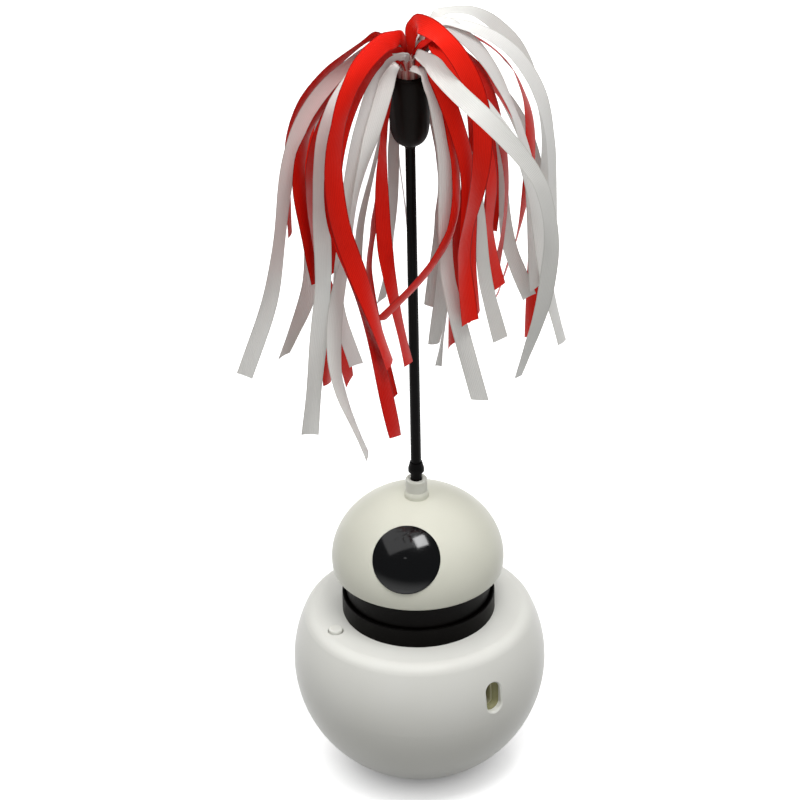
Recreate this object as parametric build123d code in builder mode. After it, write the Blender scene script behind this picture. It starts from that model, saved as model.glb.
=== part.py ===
"""Cat laser toy: ball base, turning dome head with a laser window, and a plug-in ribbon wand.

Millimetres, +Z up. The origin is on the floor, under the middle of the ball.
The charging slot faces +X. The head is stored turned so that its window faces eye_heading.
"""
import math
import os

from build123d import *

# Fits and shared small sizes
overrun = 1.0            # how far a cut runs past what it cuts
running_gap = 0.05       # shaft in a bearing, on the radius
press_gap = 0.02         # pressed and glued seats, on the radius
loose_gap = 0.2          # pieces that drop in
turn_gap = 0.3           # between turning and standing pieces that never touch

# Ball base
deck_height = 63.5
deck_rise = 21.5         # deck over the ball's middle
foot_sink = 3.0          # how far the whole ball would reach below the floor
deck_edge_round = 5.0
base_wall = 2.4
seam_drop = 5.0          # parting seam below the ball's middle
lip_height = 3.0
lip_wall = 1.1
foot_proud = 0.6         # the rubber pad stands this far out of the bowl
foot_wall = 3.4          # bowl floor over the foot flat
pad_radius = 13.9
pad_thickness = 1.6
pad_chamfer = 0.4

# Screws that close the base, driven from below
base_screw_circle = 31.0
base_screw_count = 3
base_screw_start = 45.0  # angle of the first one
base_post_radius = 4.6
shell_post_radius = 3.2
well_radius = 2.9
well_floor = 2.0
base_screw_length = 12.0
screw_head_radius = 2.4
screw_head_height = 1.5
screw_radius = 1.3
small_head_radius = 1.6
small_head_height = 1.0
small_screw_radius = 0.8

# Iron ballast in the bowl
ballast_top = 12.0
ballast_boss_radius = 3.0
ballast_boss_height = 4.0
ballast_screw_x = 9.0
ballast_screw_y = -11.0
ballast_screw_length = 8.6

# Battery
cell_radius = 7.1
cell_length = 43.0
cell_shift_x = 3.0
cell_shift_y = 7.0
cell_nub_radius = 2.7
cell_nub_length = 1.2
cradle_wall = 1.5
cradle_grip_share = 0.7      # how far the cradle's sides reach up the cell
cradle_end_wall = 1.6

# Charging slot, receptacle and main board
slot_width = 6.2
slot_length = 11.5
slot_lift = 5.3              # middle of the slot over the ball's middle
slot_edge_chamfer = 0.5
port_width = 3.3
port_length = 9.0
port_depth = 7.4
port_wall = 0.3
port_set_back = 1.7          # receptacle mouth behind the shell's inner face
port_back = 1.0
tongue_thickness = 0.7
tongue_width = 6.7
tongue_length = 5.0
board_thickness = 1.2
board_height = 23.05
board_length = 21.5
board_inset = 4.07           # end of the board behind the receptacle's mouth
rail_depth = 4.0
rail_wall = 1.3
rail_inset = 1.0         # the rails are this much shorter than the board
chip_height = 1.4
chip_size = 5.0

# Power button on the deck
button_heading = -98.0
button_circle = 33.6
button_radius = 2.5
button_proud = 1.2
button_edge_round = 0.5
button_flange = 0.9
button_flange_height = 1.0
button_travel = 0.6
switch_body = 6.0
switch_body_height = 3.0
plunger_radius = 1.7
plunger_bore_depth = 1.4
switch_board_drop = 6.5      # its upper face, below the deck's underside
switch_board_thickness = 1.0
switch_board_length = 16.0
switch_board_width = 7.6
switch_post_spread = 5.9
switch_post_radius = 1.8
switch_screw_length = 3.5

# Collar, bush and current to the head
collar_radius = 27.2
collar_wall = 1.2
collar_height = 7.2
collar_rim_round = 0.5
collar_foot_width = 6.0
collar_foot = 1.2
collar_peg_radius = 1.1
collar_peg_head = 1.8
collar_peg_head_height = 0.8
collar_peg_count = 4
collar_peg_start = 45.0  # angle of the first one
bush_radius = 4.5
bush_flange_radius = 6.5
bush_flange = 1.0
boss_wall = 2.2
boss_drop = 5.1              # boss below the deck's underside
brush_block_length = 9.5
brush_block_width = 6.0
brush_block_height = 0.9
brush_heading = 90.0
brush_strip_width = 1.2
brush_strip = 0.2
brush_strip_length = 5.0
ring_radii = (11.0, 15.0)    # middle of each contact ring
ring_width = 2.0
ring_thickness = 0.4

# Gear train: head wheel, compound idler, motor pinion
tooth_pressure = 20.0
addendum_share = 0.75        # stub teeth, in modules
dedendum_share = 1.05
tooth_slack_share = 0.14     # tooth thinned for backlash, as a share of its thickness
head_module = 0.6
head_teeth = 40
idler_pinion_teeth = 12
motor_module = 0.5
idler_wheel_teeth = 36
motor_pinion_teeth = 12
idler_heading = 200.0        # from the spindle
motor_heading = 250.0        # from the idler
head_gear_width = 4.0
head_gear_hub_radius = 5.0
web_holes = 5
web_hole_radius = 1.8
wheel_width = 3.4
wheel_gap = 1.0              # between the idler's wheel and the head gear above it
gear_float = 0.4
idler_axle_radius = 1.0
axle_boss_radius = 2.6
axle_seat = 3.0

# Gear plate and motor
plate_thickness = 2.0
plate_gap = 0.5              # under the idler's wheel
plate_points = ((-20.0, 10.0), (-5.0, -24.0), (9.0, 17.0))
plate_rim = 1.6
plate_post_radius = 2.6
plate_screw_length = 7.0
motor_radius = 6.0
motor_flat = 5.0
motor_length = 15.0
motor_boss_radius = 2.0
motor_boss_height = 1.6
motor_shaft_radius = 0.75
motor_shaft_seat = 4.0
motor_pad_margin = 2.0
motor_screw_spread = 4.3
motor_screw_head = 1.1
motor_screw_head_height = 0.7
motor_screw_radius = 0.5
motor_screw_length = 2.8
endcap_height = 1.6
endcap_inset = 0.4
tab_length = 2.2
tab_width = 1.4
tab_thickness = 0.3
tab_spread = 3.0

# Spindle that carries the head
spindle_radius = 3.0
spindle_bore = 1.3
spindle_shoulder_radius = 5.0
spindle_tail = 2.4           # below the head gear
clip_radius = 4.6
clip_thickness = 0.8
clip_groove = 0.6
clip_opening = 3.4
spindle_seat = 8.0           # length in the neck hub
hub_wall = 3.0

# Head
eye_heading = -46.0
neck_lift = 2.5              # neck floor over the deck
neck_wall = 1.8
neck_floor = 2.0
neck_flange = 1.7
neck_flange_lift = 0.3
neck_flange_gap = 0.55
head_rim_lift = 17.5         # over the deck
head_skirt = 3.8             # widest part of the dome over its rim
head_radius = 30.6
head_rise = 25.7
head_wall = 2.0
head_rim_round = 0.9
head_post_circle = 20.0
head_post_radius = 2.6
head_post_count = 3
head_post_turn = 60.0        # angle from the window to the first one
head_screw_length = 9.0
crown_radius = 4.4           # raised seat on top of the dome
crown_height = 3.2
crown_round = 2.6

# Window
eye_rise_angle = 35.0        # place on the dome's ellipse
eye_radius = 12.0
eye_hole_gap = 0.15
eye_bulge = 0.6              # top of the glass over the dome's skin
eye_edge_drop = 2.2
eye_wall = 1.8
eye_rim_depth = 4.9
eye_flange_width = 1.4
eye_flange = 1.2

# Laser module
laser_radius = 3.5
laser_length = 18.0
laser_reach = 12.5           # middle of the barrel from the head's axis
laser_lift = 23.0            # over the neck's floor
laser_dip = 8.0
laser_bore = 1.5
laser_lens_radius = 2.6
laser_lens_thickness = 1.5
laser_lens_depth = 2.0
laser_board_thickness = 1.0
bracket_width = 12.0
bracket_thickness = 5.0
bracket_ring = 2.4
bracket_foot = 2.0
bracket_foot_length = 15.0
bracket_screw_spread = 4.2
bracket_screw_reach = 16.6
bracket_screw_length = 3.4

# Wand
socket_radius = 3.8
socket_proud = 3.7           # over the crown
socket_length = 18.0
socket_floor = 4.0
socket_flange_radius = 7.0
socket_flange = 1.4
socket_flange_drop = 3.0     # below the dome's apex
socket_edge_round = 0.4
plug_radius = 2.0
plug_nose_chamfer = 0.5
ferrule_radius = 2.85
ferrule_lift = 3.2           # flange over the socket
ferrule_length = 3.7
ferrule_cone = 2.6           # taper from the flange up to the rod
ferrule_lip = 0.35
rod_radius = 1.85
rod_tip_radius = 1.75
rod_length = 140.8
rod_seat = 2.6
clasp_radius = 6.75
clasp_length = 28.8
clasp_foot_radius = 3.6
clasp_shoulder = 4.6
clasp_shoulder_round = 5.0
clasp_taper = 9.0
clasp_taper_round = 12.0
clasp_top_radius = 5.3
clasp_edge_round = 0.5
clasp_seat = 11.0            # rod in the clasp
root_radius = 4.5

# Tassel
ribbon_width = 6.6
ribbon_thickness = 0.4
ribbon_clear = 0.3
ribbon_root_width = 0.7      # where the strands crowd at the root
ribbon_gather = 3.0          # how far they stay that narrow
ribbon_widening_share = 0.28  # of the way from there
root_rise = 4.0              # gathered ends over the clasp, under their dome
root_leans = (25, 53, 88)    # rings of strands on the dome, in degrees from upright
tassel_rise = 29.7           # crown over the clasp's top
tassel_reach = 60.0          # farthest strand from the wand
tassel_drop = 160.0          # crown to the lowest tips
tassel_front = -36.0         # heading that the flats of the strands face
tassel_front_lift = 34.5     # and how far up they look, in degrees
# For each strand: its width, its turn in degrees at the root, the middle and the tip, its ring and
# heading on the root, then places of its middle line: distance out, heading and fall from the crown.
# They hang in two bunches, one on each side of the wand.
red_strand_shares = (
    (0.82, (60, 78, 70), 0, -156, ((0.050, -148.2, 0.121), (0.055, -132.9, 0.100),
        (0.163, -131.6, 0.090), (0.289, -130.7, 0.119), (0.428, -130.2, 0.165), (0.590, -129.3, 0.232),
        (0.697, -128.7, 0.328), (0.709, -128.7, 0.446), (0.701, -128.7, 0.578))),
    (0.85, (40, 55, 40), 1, -116, ((0.094, -114.5, 0.128), (0.151, -112.0, 0.121),
        (0.267, -108.5, 0.143), (0.386, -107.1, 0.175), (0.517, -107.0, 0.224), (0.638, -109.3, 0.301),
        (0.679, -110.1, 0.403), (0.625, -108.0, 0.519), (0.593, -106.3, 0.650))),
    (0.88, (38, 42, 35), 2, -90, ((0.127, -98.0, 0.139), (0.212, -102.9, 0.141),
        (0.362, -101.7, 0.175), (0.497, -101.4, 0.229), (0.594, -103.1, 0.315), (0.628, -104.9, 0.435),
        (0.585, -104.0, 0.574), (0.494, -101.0, 0.729), (0.425, -97.9, 0.903))),
    (0.97, (0, 12, 15), 0, -76, ((0.046, -65.0, 0.107), (0.091, -59.8, 0.077), (0.272, -74.5, 0.067),
        (0.483, -71.6, 0.080), (0.674, -70.5, 0.144), (0.733, -73.3, 0.271), (0.718, -71.0, 0.422),
        (0.654, -61.1, 0.585), (0.617, -49.3, 0.769))),
    (0.88, (25, 28, 20), 1, -65, ((0.109, -62.6, 0.106), (0.194, -82.4, 0.109), (0.369, -80.0, 0.141),
        (0.540, -77.3, 0.194), (0.675, -76.4, 0.286), (0.706, -75.3, 0.422), (0.660, -65.9, 0.573),
        (0.635, -55.2, 0.747), (0.644, -46.4, 0.944))),
    (0.82, (40, 45, 30), 2, -50, ((0.099, -60.7, 0.134), (0.110, -83.9, 0.148), (0.179, -78.1, 0.200),
        (0.228, -74.2, 0.263), (0.270, -73.5, 0.342), (0.288, -71.7, 0.444), (0.288, -69.2, 0.563),
        (0.268, -59.4, 0.697), (0.265, -43.2, 0.845))),
    (0.79, (65, 75, 50), 2, -130, ((0.141, -135.9, 0.151), (0.125, -143.6, 0.203),
        (0.140, -143.9, 0.264), (0.146, -143.0, 0.333), (0.168, -136.4, 0.421), (0.203, -127.4, 0.535),
        (0.265, -122.6, 0.667), (0.210, -114.9, 0.815), (0.142, -97.9, 0.981))),
    (0.82, (50, 60, 50), 2, -110, ((0.124, -113.7, 0.138), (0.177, -122.0, 0.157),
        (0.291, -121.6, 0.205), (0.391, -121.3, 0.268), (0.471, -120.8, 0.354), (0.505, -120.4, 0.473),
        (0.510, -120.0, 0.610), (0.515, -119.4, 0.766), (0.513, -118.5, 0.941))),
    (0.79, (45, 60, 60), 2, -10, ((0.132, -10.1, 0.128), (0.126, 23.1, 0.127), (0.214, 13.3, 0.171),
        (0.307, 5.5, 0.220), (0.378, 3.1, 0.292), (0.410, 4.3, 0.388), (0.406, 0.5, 0.497),
        (0.340, -23.1, 0.608), (0.366, -66.1, 0.718))),
    (1.00, (0, 12, 45), 0, -36, ((0.074, -25.7, 0.103), (0.093, -28.0, 0.065), (0.190, -13.5, 0.013),
        (0.375, -2.4, 0.029), (0.494, 8.6, 0.115), (0.547, 14.2, 0.238), (0.530, 11.4, 0.383),
        (0.440, 4.2, 0.546), (0.466, 8.3, 0.728))),
    (0.94, (20, 8, 45), 2, 10, ((0.160, 0.9, 0.131), (0.156, 8.3, 0.122), (0.241, 6.7, 0.159),
        (0.346, 3.3, 0.202), (0.416, 5.8, 0.268), (0.447, 12.1, 0.362), (0.434, 13.0, 0.472),
        (0.412, 12.0, 0.595), (0.441, 16.5, 0.731))),
    (0.85, (40, 40, 45), 1, 12, ((0.090, 18.4, 0.125), (0.117, 37.1, 0.103), (0.222, 33.1, 0.131),
        (0.314, 29.2, 0.174), (0.393, 30.4, 0.239), (0.451, 37.0, 0.334), (0.487, 40.8, 0.441),
        (0.440, 40.2, 0.559), (0.510, 42.7, 0.691))),
    (0.82, (50, 62, 70), 0, 4, ((0.084, 6.6, 0.109), (0.132, 39.7, 0.091), (0.259, 51.3, 0.112),
        (0.376, 56.9, 0.161), (0.464, 58.9, 0.235), (0.514, 57.8, 0.333), (0.558, 56.2, 0.446),
        (0.532, 56.7, 0.578), (0.459, 57.8, 0.724))),
    (0.85, (40, 40, 75), 0, 124, ((0.078, 110.0, 0.114), (0.146, 73.8, 0.088), (0.313, 72.4, 0.095),
        (0.459, 74.6, 0.142), (0.626, 74.0, 0.208), (0.720, 70.7, 0.317), (0.718, 70.0, 0.453),
        (0.668, 73.5, 0.614), (0.559, 82.5, 0.791))),
    (0.82, (40, 55, 50), 1, 64, ((0.101, 72.4, 0.115), (0.168, 79.9, 0.109), (0.318, 84.2, 0.161),
        (0.453, 81.5, 0.218), (0.607, 80.7, 0.298), (0.745, 78.8, 0.419), (0.788, 76.5, 0.562),
        (0.751, 74.1, 0.720), (0.704, 70.6, 0.891))),
    (0.79, (50, 55, 50), 2, 90, ((0.130, 94.9, 0.143), (0.132, 104.3, 0.171), (0.209, 105.6, 0.232),
        (0.252, 101.1, 0.291), (0.289, 95.1, 0.365), (0.322, 89.9, 0.469), (0.328, 88.3, 0.597),
        (0.307, 89.9, 0.741), (0.280, 90.5, 0.900))),
    (0.85, (30, 35, 30), 1, 166, ((0.103, 163.5, 0.126), (0.159, 174.6, 0.130), (0.270, 178.5, 0.165),
        (0.385, 179.3, 0.209), (0.528, 178.3, 0.271), (0.656, -179.5, 0.364), (0.700, -175.3, 0.484),
        (0.700, -173.4, 0.623), (0.667, -174.5, 0.778))),
    (0.85, (30, 35, 30), 1, 141, ((0.109, 132.7, 0.130), (0.172, 103.0, 0.126), (0.279, 105.5, 0.158),
        (0.389, 107.6, 0.201), (0.522, 110.9, 0.262), (0.668, 112.5, 0.350), (0.721, 110.6, 0.467),
        (0.691, 111.5, 0.602), (0.657, 113.5, 0.753))),
    (0.85, (30, 35, 30), 1, -142, ((0.078, -147.7, 0.128), (0.081, -171.1, 0.110),
        (0.185, -170.8, 0.138), (0.297, -171.3, 0.177), (0.414, -169.3, 0.231), (0.539, -165.4, 0.306),
        (0.640, -159.2, 0.399), (0.704, -155.0, 0.511), (0.686, -155.1, 0.641))),
    (0.85, (30, 35, 30), 1, 89, ((0.098, 87.7, 0.132), (0.134, 83.2, 0.118), (0.234, 92.9, 0.144),
        (0.342, 98.6, 0.183), (0.459, 99.6, 0.236), (0.580, 98.1, 0.312), (0.641, 94.6, 0.411),
        (0.640, 93.7, 0.527), (0.602, 95.6, 0.656))),
)
white_strand_shares = (
    (0.85, (35, 45, 35), 0, -116, ((0.058, -111.7, 0.104), (0.127, -117.2, 0.095),
        (0.293, -115.2, 0.129), (0.464, -114.1, 0.179), (0.621, -114.7, 0.260), (0.719, -115.3, 0.387),
        (0.763, -115.3, 0.538), (0.830, -115.4, 0.708), (0.997, -116.4, 0.891))),
    (0.91, (20, 10, 5), 1, -91, ((0.107, -87.1, 0.109), (0.192, -92.1, 0.106), (0.380, -88.0, 0.133),
        (0.569, -85.1, 0.182), (0.679, -85.3, 0.280), (0.679, -84.8, 0.422), (0.673, -84.3, 0.586),
        (0.717, -86.5, 0.770), (0.767, -88.5, 0.975))),
    (0.85, (25, 30, 45), 1, -39, ((0.115, -42.1, 0.118), (0.141, -86.5, 0.128), (0.246, -85.7, 0.168),
        (0.360, -78.9, 0.217), (0.446, -78.6, 0.293), (0.488, -81.2, 0.399), (0.536, -83.0, 0.522),
        (0.591, -85.7, 0.661), (0.518, -76.1, 0.814))),
    (0.85, (35, 42, 48), 2, -70, ((0.150, -65.6, 0.133), (0.190, -75.6, 0.168), (0.302, -71.2, 0.222),
        (0.407, -71.9, 0.292), (0.489, -75.7, 0.387), (0.549, -77.5, 0.516), (0.640, -81.0, 0.662),
        (0.685, -78.2, 0.828), (0.634, -62.6, 1.003))),
    (0.79, (70, 78, 60), 2, -170, ((0.120, -164.4, 0.147), (0.113, -166.3, 0.174),
        (0.161, -174.2, 0.216), (0.181, -175.9, 0.261), (0.208, -173.6, 0.318), (0.252, -170.8, 0.395),
        (0.294, -164.1, 0.485), (0.350, -156.1, 0.587), (0.358, -153.8, 0.703))),
    (0.76, (75, 80, 70), 2, 150, ((0.130, 147.0, 0.157), (0.159, 153.7, 0.193), (0.216, 156.6, 0.232),
        (0.205, 164.1, 0.258), (0.206, 166.1, 0.298), (0.225, 164.0, 0.363), (0.227, 161.8, 0.442),
        (0.213, 155.4, 0.531), (0.201, 148.8, 0.631))),
    (0.76, (60, 65, 55), 2, 170, ((0.146, 167.7, 0.167), (0.138, 173.9, 0.212), (0.144, 176.8, 0.250),
        (0.138, -178.1, 0.291), (0.144, -175.5, 0.351), (0.150, -175.0, 0.434), (0.152, -175.0, 0.533),
        (0.161, -168.6, 0.644), (0.209, -154.6, 0.766))),
    (0.85, (35, 45, 35), 2, -150, ((0.123, -148.3, 0.135), (0.176, -148.7, 0.142),
        (0.303, -149.4, 0.188), (0.428, -148.9, 0.248), (0.551, -147.9, 0.330), (0.616, -145.4, 0.450),
        (0.604, -144.6, 0.591), (0.611, -143.1, 0.752), (0.776, -138.4, 0.919))),
    (0.88, (35, 30, 8), 2, -30, ((0.118, -29.0, 0.147), (0.163, -3.1, 0.150), (0.239, 0.9, 0.196),
        (0.307, 0.9, 0.263), (0.346, 2.1, 0.357), (0.330, -0.3, 0.477), (0.327, -0.8, 0.615),
        (0.394, 7.6, 0.764), (0.480, 15.3, 0.931))),
    (0.97, (5, 5, 25), 1, -13, ((0.110, -12.4, 0.113), (0.234, -1.9, 0.118), (0.435, -4.8, 0.139),
        (0.631, -0.5, 0.163), (0.787, 9.2, 0.235), (0.895, 20.9, 0.355), (0.915, 25.2, 0.506),
        (0.842, 26.3, 0.679), (0.686, 24.9, 0.866))),
    (0.85, (35, 45, 42), 2, 50, ((0.124, 52.2, 0.140), (0.168, 49.2, 0.137), (0.277, 46.5, 0.176),
        (0.402, 45.9, 0.228), (0.541, 45.4, 0.295), (0.671, 46.6, 0.397), (0.733, 47.2, 0.527),
        (0.766, 47.1, 0.675), (0.864, 47.4, 0.838))),
    (0.85, (40, 55, 40), 1, 38, ((0.096, 39.8, 0.123), (0.143, 56.8, 0.109), (0.255, 63.7, 0.147),
        (0.354, 66.5, 0.200), (0.452, 66.9, 0.271), (0.529, 66.5, 0.372), (0.543, 66.8, 0.492),
        (0.556, 67.0, 0.628), (0.687, 64.6, 0.770))),
    (0.85, (35, 42, 45), 0, 44, ((0.072, 45.8, 0.112), (0.093, 61.8, 0.082), (0.229, 59.7, 0.071),
        (0.368, 60.6, 0.116), (0.486, 62.2, 0.192), (0.603, 61.9, 0.299), (0.686, 61.1, 0.427),
        (0.716, 61.5, 0.577), (0.715, 62.0, 0.744))),
    (0.85, (35, 45, 48), 0, 84, ((0.048, 74.7, 0.104), (0.080, 56.7, 0.069), (0.241, 63.5, 0.062),
        (0.421, 67.4, 0.099), (0.622, 67.1, 0.157), (0.772, 64.4, 0.265), (0.823, 62.8, 0.404),
        (0.818, 61.9, 0.565), (0.773, 61.4, 0.744))),
    (0.85, (40, 42, 20), 2, 30, ((0.121, 34.6, 0.149), (0.118, 34.7, 0.152), (0.173, 30.2, 0.194),
        (0.239, 26.4, 0.240), (0.332, 23.9, 0.308), (0.401, 26.6, 0.406), (0.433, 28.2, 0.523),
        (0.454, 29.0, 0.657), (0.538, 32.2, 0.803))),
    (0.79, (50, 55, 45), 2, 130, ((0.142, 129.7, 0.150), (0.146, 121.6, 0.189), (0.185, 119.0, 0.233),
        (0.210, 113.8, 0.281), (0.257, 111.9, 0.348), (0.304, 111.2, 0.442), (0.313, 110.1, 0.552),
        (0.290, 111.7, 0.676), (0.254, 120.8, 0.812))),
    (0.79, (50, 50, 45), 2, 70, ((0.150, 80.3, 0.152), (0.155, 99.1, 0.206), (0.174, 94.7, 0.253),
        (0.167, 87.3, 0.305), (0.191, 86.4, 0.380), (0.219, 85.9, 0.481), (0.224, 83.4, 0.598),
        (0.207, 83.5, 0.730), (0.154, 94.6, 0.878))),
    (0.76, (60, 60, 60), 2, 110, ((0.142, 114.1, 0.147), (0.149, 114.0, 0.195), (0.206, 110.4, 0.250),
        (0.261, 107.8, 0.312), (0.337, 108.7, 0.397), (0.382, 107.0, 0.515), (0.385, 107.2, 0.654),
        (0.371, 109.9, 0.811), (0.332, 118.7, 0.984))),
    (0.85, (35, 48, 45), 0, 164, ((0.053, 131.0, 0.114), (0.102, 86.4, 0.088), (0.228, 88.8, 0.060),
        (0.392, 93.3, 0.077), (0.579, 94.5, 0.121), (0.762, 89.4, 0.200), (0.862, 84.1, 0.314),
        (0.889, 82.0, 0.455), (0.865, 81.6, 0.613))),
    (0.85, (30, 35, 30), 1, -168, ((0.089, -179.6, 0.127), (0.111, 176.9, 0.114),
        (0.224, -175.8, 0.144), (0.343, -174.3, 0.185), (0.484, -174.0, 0.243), (0.611, -168.6, 0.330),
        (0.672, -164.1, 0.444), (0.668, -163.7, 0.576), (0.653, -163.7, 0.725))),
    (0.85, (30, 35, 30), 1, 115, ((0.098, 110.8, 0.122), (0.154, 98.6, 0.108), (0.276, 99.6, 0.137),
        (0.402, 100.3, 0.180), (0.550, 99.7, 0.241), (0.717, 97.4, 0.326), (0.844, 91.8, 0.435),
        (0.902, 88.3, 0.570), (0.901, 87.7, 0.725))),
)

# Worked out from the sizes above
ball_centre = deck_height - deck_rise
ball_radius = ball_centre + foot_sink
inner_radius = ball_radius - base_wall
slot_height = ball_centre + slot_lift
seam_height = ball_centre - seam_drop
deck_underside = deck_height - base_wall
port_mouth = math.sqrt(inner_radius**2 - slot_lift**2) - port_set_back
board_top = deck_underside - running_gap
board_bottom = board_top - board_height
board_end = port_mouth - board_inset
board_start = board_end - board_length
bowl_floor = foot_proud + foot_wall
boss_bottom = deck_underside - boss_drop
head_gear_top = boss_bottom - gear_float
head_gear_bottom = head_gear_top - head_gear_width
wheel_top = head_gear_bottom - wheel_gap
wheel_bottom = wheel_top - wheel_width
plate_top = wheel_bottom - plate_gap
plate_bottom = plate_top - plate_thickness
neck_bottom = deck_height + neck_lift
neck_floor_top = neck_bottom + neck_floor
neck_radius = collar_radius - collar_wall - turn_gap
clip_top = head_gear_bottom
spindle_bottom = head_gear_bottom - spindle_tail
spindle_top = neck_bottom + spindle_seat
head_rim = deck_height + head_rim_lift
head_centre = head_rim + head_skirt
dome_apex = head_centre + head_rise
crown_top = dome_apex + crown_height
laser_height = neck_floor_top + laser_lift
socket_top = crown_top + socket_proud
socket_bottom = socket_top - socket_length
plug_bottom = socket_bottom + socket_floor
ferrule_bottom = socket_top + ferrule_lift
ferrule_top = ferrule_bottom + ferrule_length
switch_board_top = deck_underside - switch_board_drop
switch_top = switch_board_top + switch_body_height
rod_bottom = ferrule_top - rod_seat
rod_top = rod_bottom + rod_length
clasp_bottom = rod_top - clasp_seat
clasp_top = clasp_bottom + clasp_length
tassel_crown = clasp_top + tassel_rise
root_shoulder = clasp_top + root_rise
root_top = root_shoulder + root_radius


def polar(radius, angle):
    """Point in plan at a radius and an angle in degrees."""
    return radius * math.cos(math.radians(angle)), radius * math.sin(math.radians(angle))


def upright_plane(angle):
    """Vertical plane through the Z axis, its local x pointing at the angle, its local y up."""
    heading = Vector(*polar(1, angle), 0)
    return Plane(origin=(0, 0, 0), x_dir=heading, z_dir=heading.cross(Vector(0, 0, 1)))


def plan_points(plane, shifts):
    """Places in plan of points given on a level plane of its own heading."""
    places = [plane.from_local_coords(Vector(*shift, 0)) for shift in shifts]
    return [(place.X, place.Y) for place in places]


def circle_points(radius, count, start):
    """Places evenly round a circle."""
    return [polar(radius, start + 360 * step / count) for step in range(count)]


def ball_angle(radius, height):
    """Angle on a ball of that radius, about its middle, of a point at a height over the floor."""
    return math.degrees(math.asin((height - ball_centre) / radius))


def screws(points, seat_height, lift, head_radius, head_height, radius, length):
    """Pan-head screws in plan: the heads lie on the side that lift points to, +1 up or -1 down."""
    with BuildPart() as group:
        with BuildSketch(Plane.XY.offset(seat_height)):
            with Locations(*points):
                Circle(head_radius)
        extrude(amount=lift * head_height)
        with BuildSketch(Plane.XY.offset(seat_height)):
            with Locations(*points):
                Circle(radius)
        extrude(amount=-lift * length)
    return group.part


def gear(origin, module, teeth, phase):
    """Outline of a spur gear with stub involute teeth, one tooth pointing at the phase angle."""
    pitch = module * teeth / 2
    base = pitch * math.cos(math.radians(tooth_pressure))
    tip = pitch + addendum_share * module
    root = pitch - dedendum_share * module
    flank_foot = max(base, root)
    half_tooth = math.pi / (2 * teeth) * (1 - tooth_slack_share)

    def roll(radius):
        turn = math.acos(min(base / radius, 1))
        return math.tan(turn) - turn

    def flank(radius, side):
        angle = half_tooth + roll(pitch) - roll(radius)
        return polar(radius, side * math.degrees(angle))

    def foot(side):
        angle = half_tooth + roll(pitch) - roll(flank_foot)
        return polar(root - module, side * math.degrees(angle))

    middle = (flank_foot + tip) / 2
    with BuildSketch() as tooth:
        with BuildLine():
            Line(foot(1), flank(flank_foot, 1))
            ThreePointArc(flank(flank_foot, 1), flank(middle, 1), flank(tip, 1))
            Line(flank(tip, 1), flank(tip, -1))
            ThreePointArc(flank(tip, -1), flank(middle, -1), flank(flank_foot, -1))
            Line(flank(flank_foot, -1), foot(-1))
            Line(foot(-1), foot(1))
        make_face()
    with BuildSketch(Plane(origin)) as outline:
        Circle(root)
        with PolarLocations(0, teeth, start_angle=phase):
            add(tooth.sketch)
    return outline.sketch


# Ball base, upper shell with the deck
base_posts = circle_points(base_screw_circle, base_screw_count, base_screw_start)
button_point = polar(button_circle, button_heading)
button_plane = Plane(origin=(*button_point, 0), x_dir=(*polar(1, button_heading), 0))
switch_posts = [(0, -switch_post_spread), (0, switch_post_spread)]
idler_point = polar((head_teeth + idler_pinion_teeth) * head_module / 2, idler_heading)
motor_offset = polar((idler_wheel_teeth + motor_pinion_teeth) * motor_module / 2, motor_heading)
motor_point = (idler_point[0] + motor_offset[0], idler_point[1] + motor_offset[1])
collar_pegs = circle_points(
    collar_radius - collar_wall - collar_foot_width / 2, collar_peg_count, collar_peg_start)
board_face = port_width / 2

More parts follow.
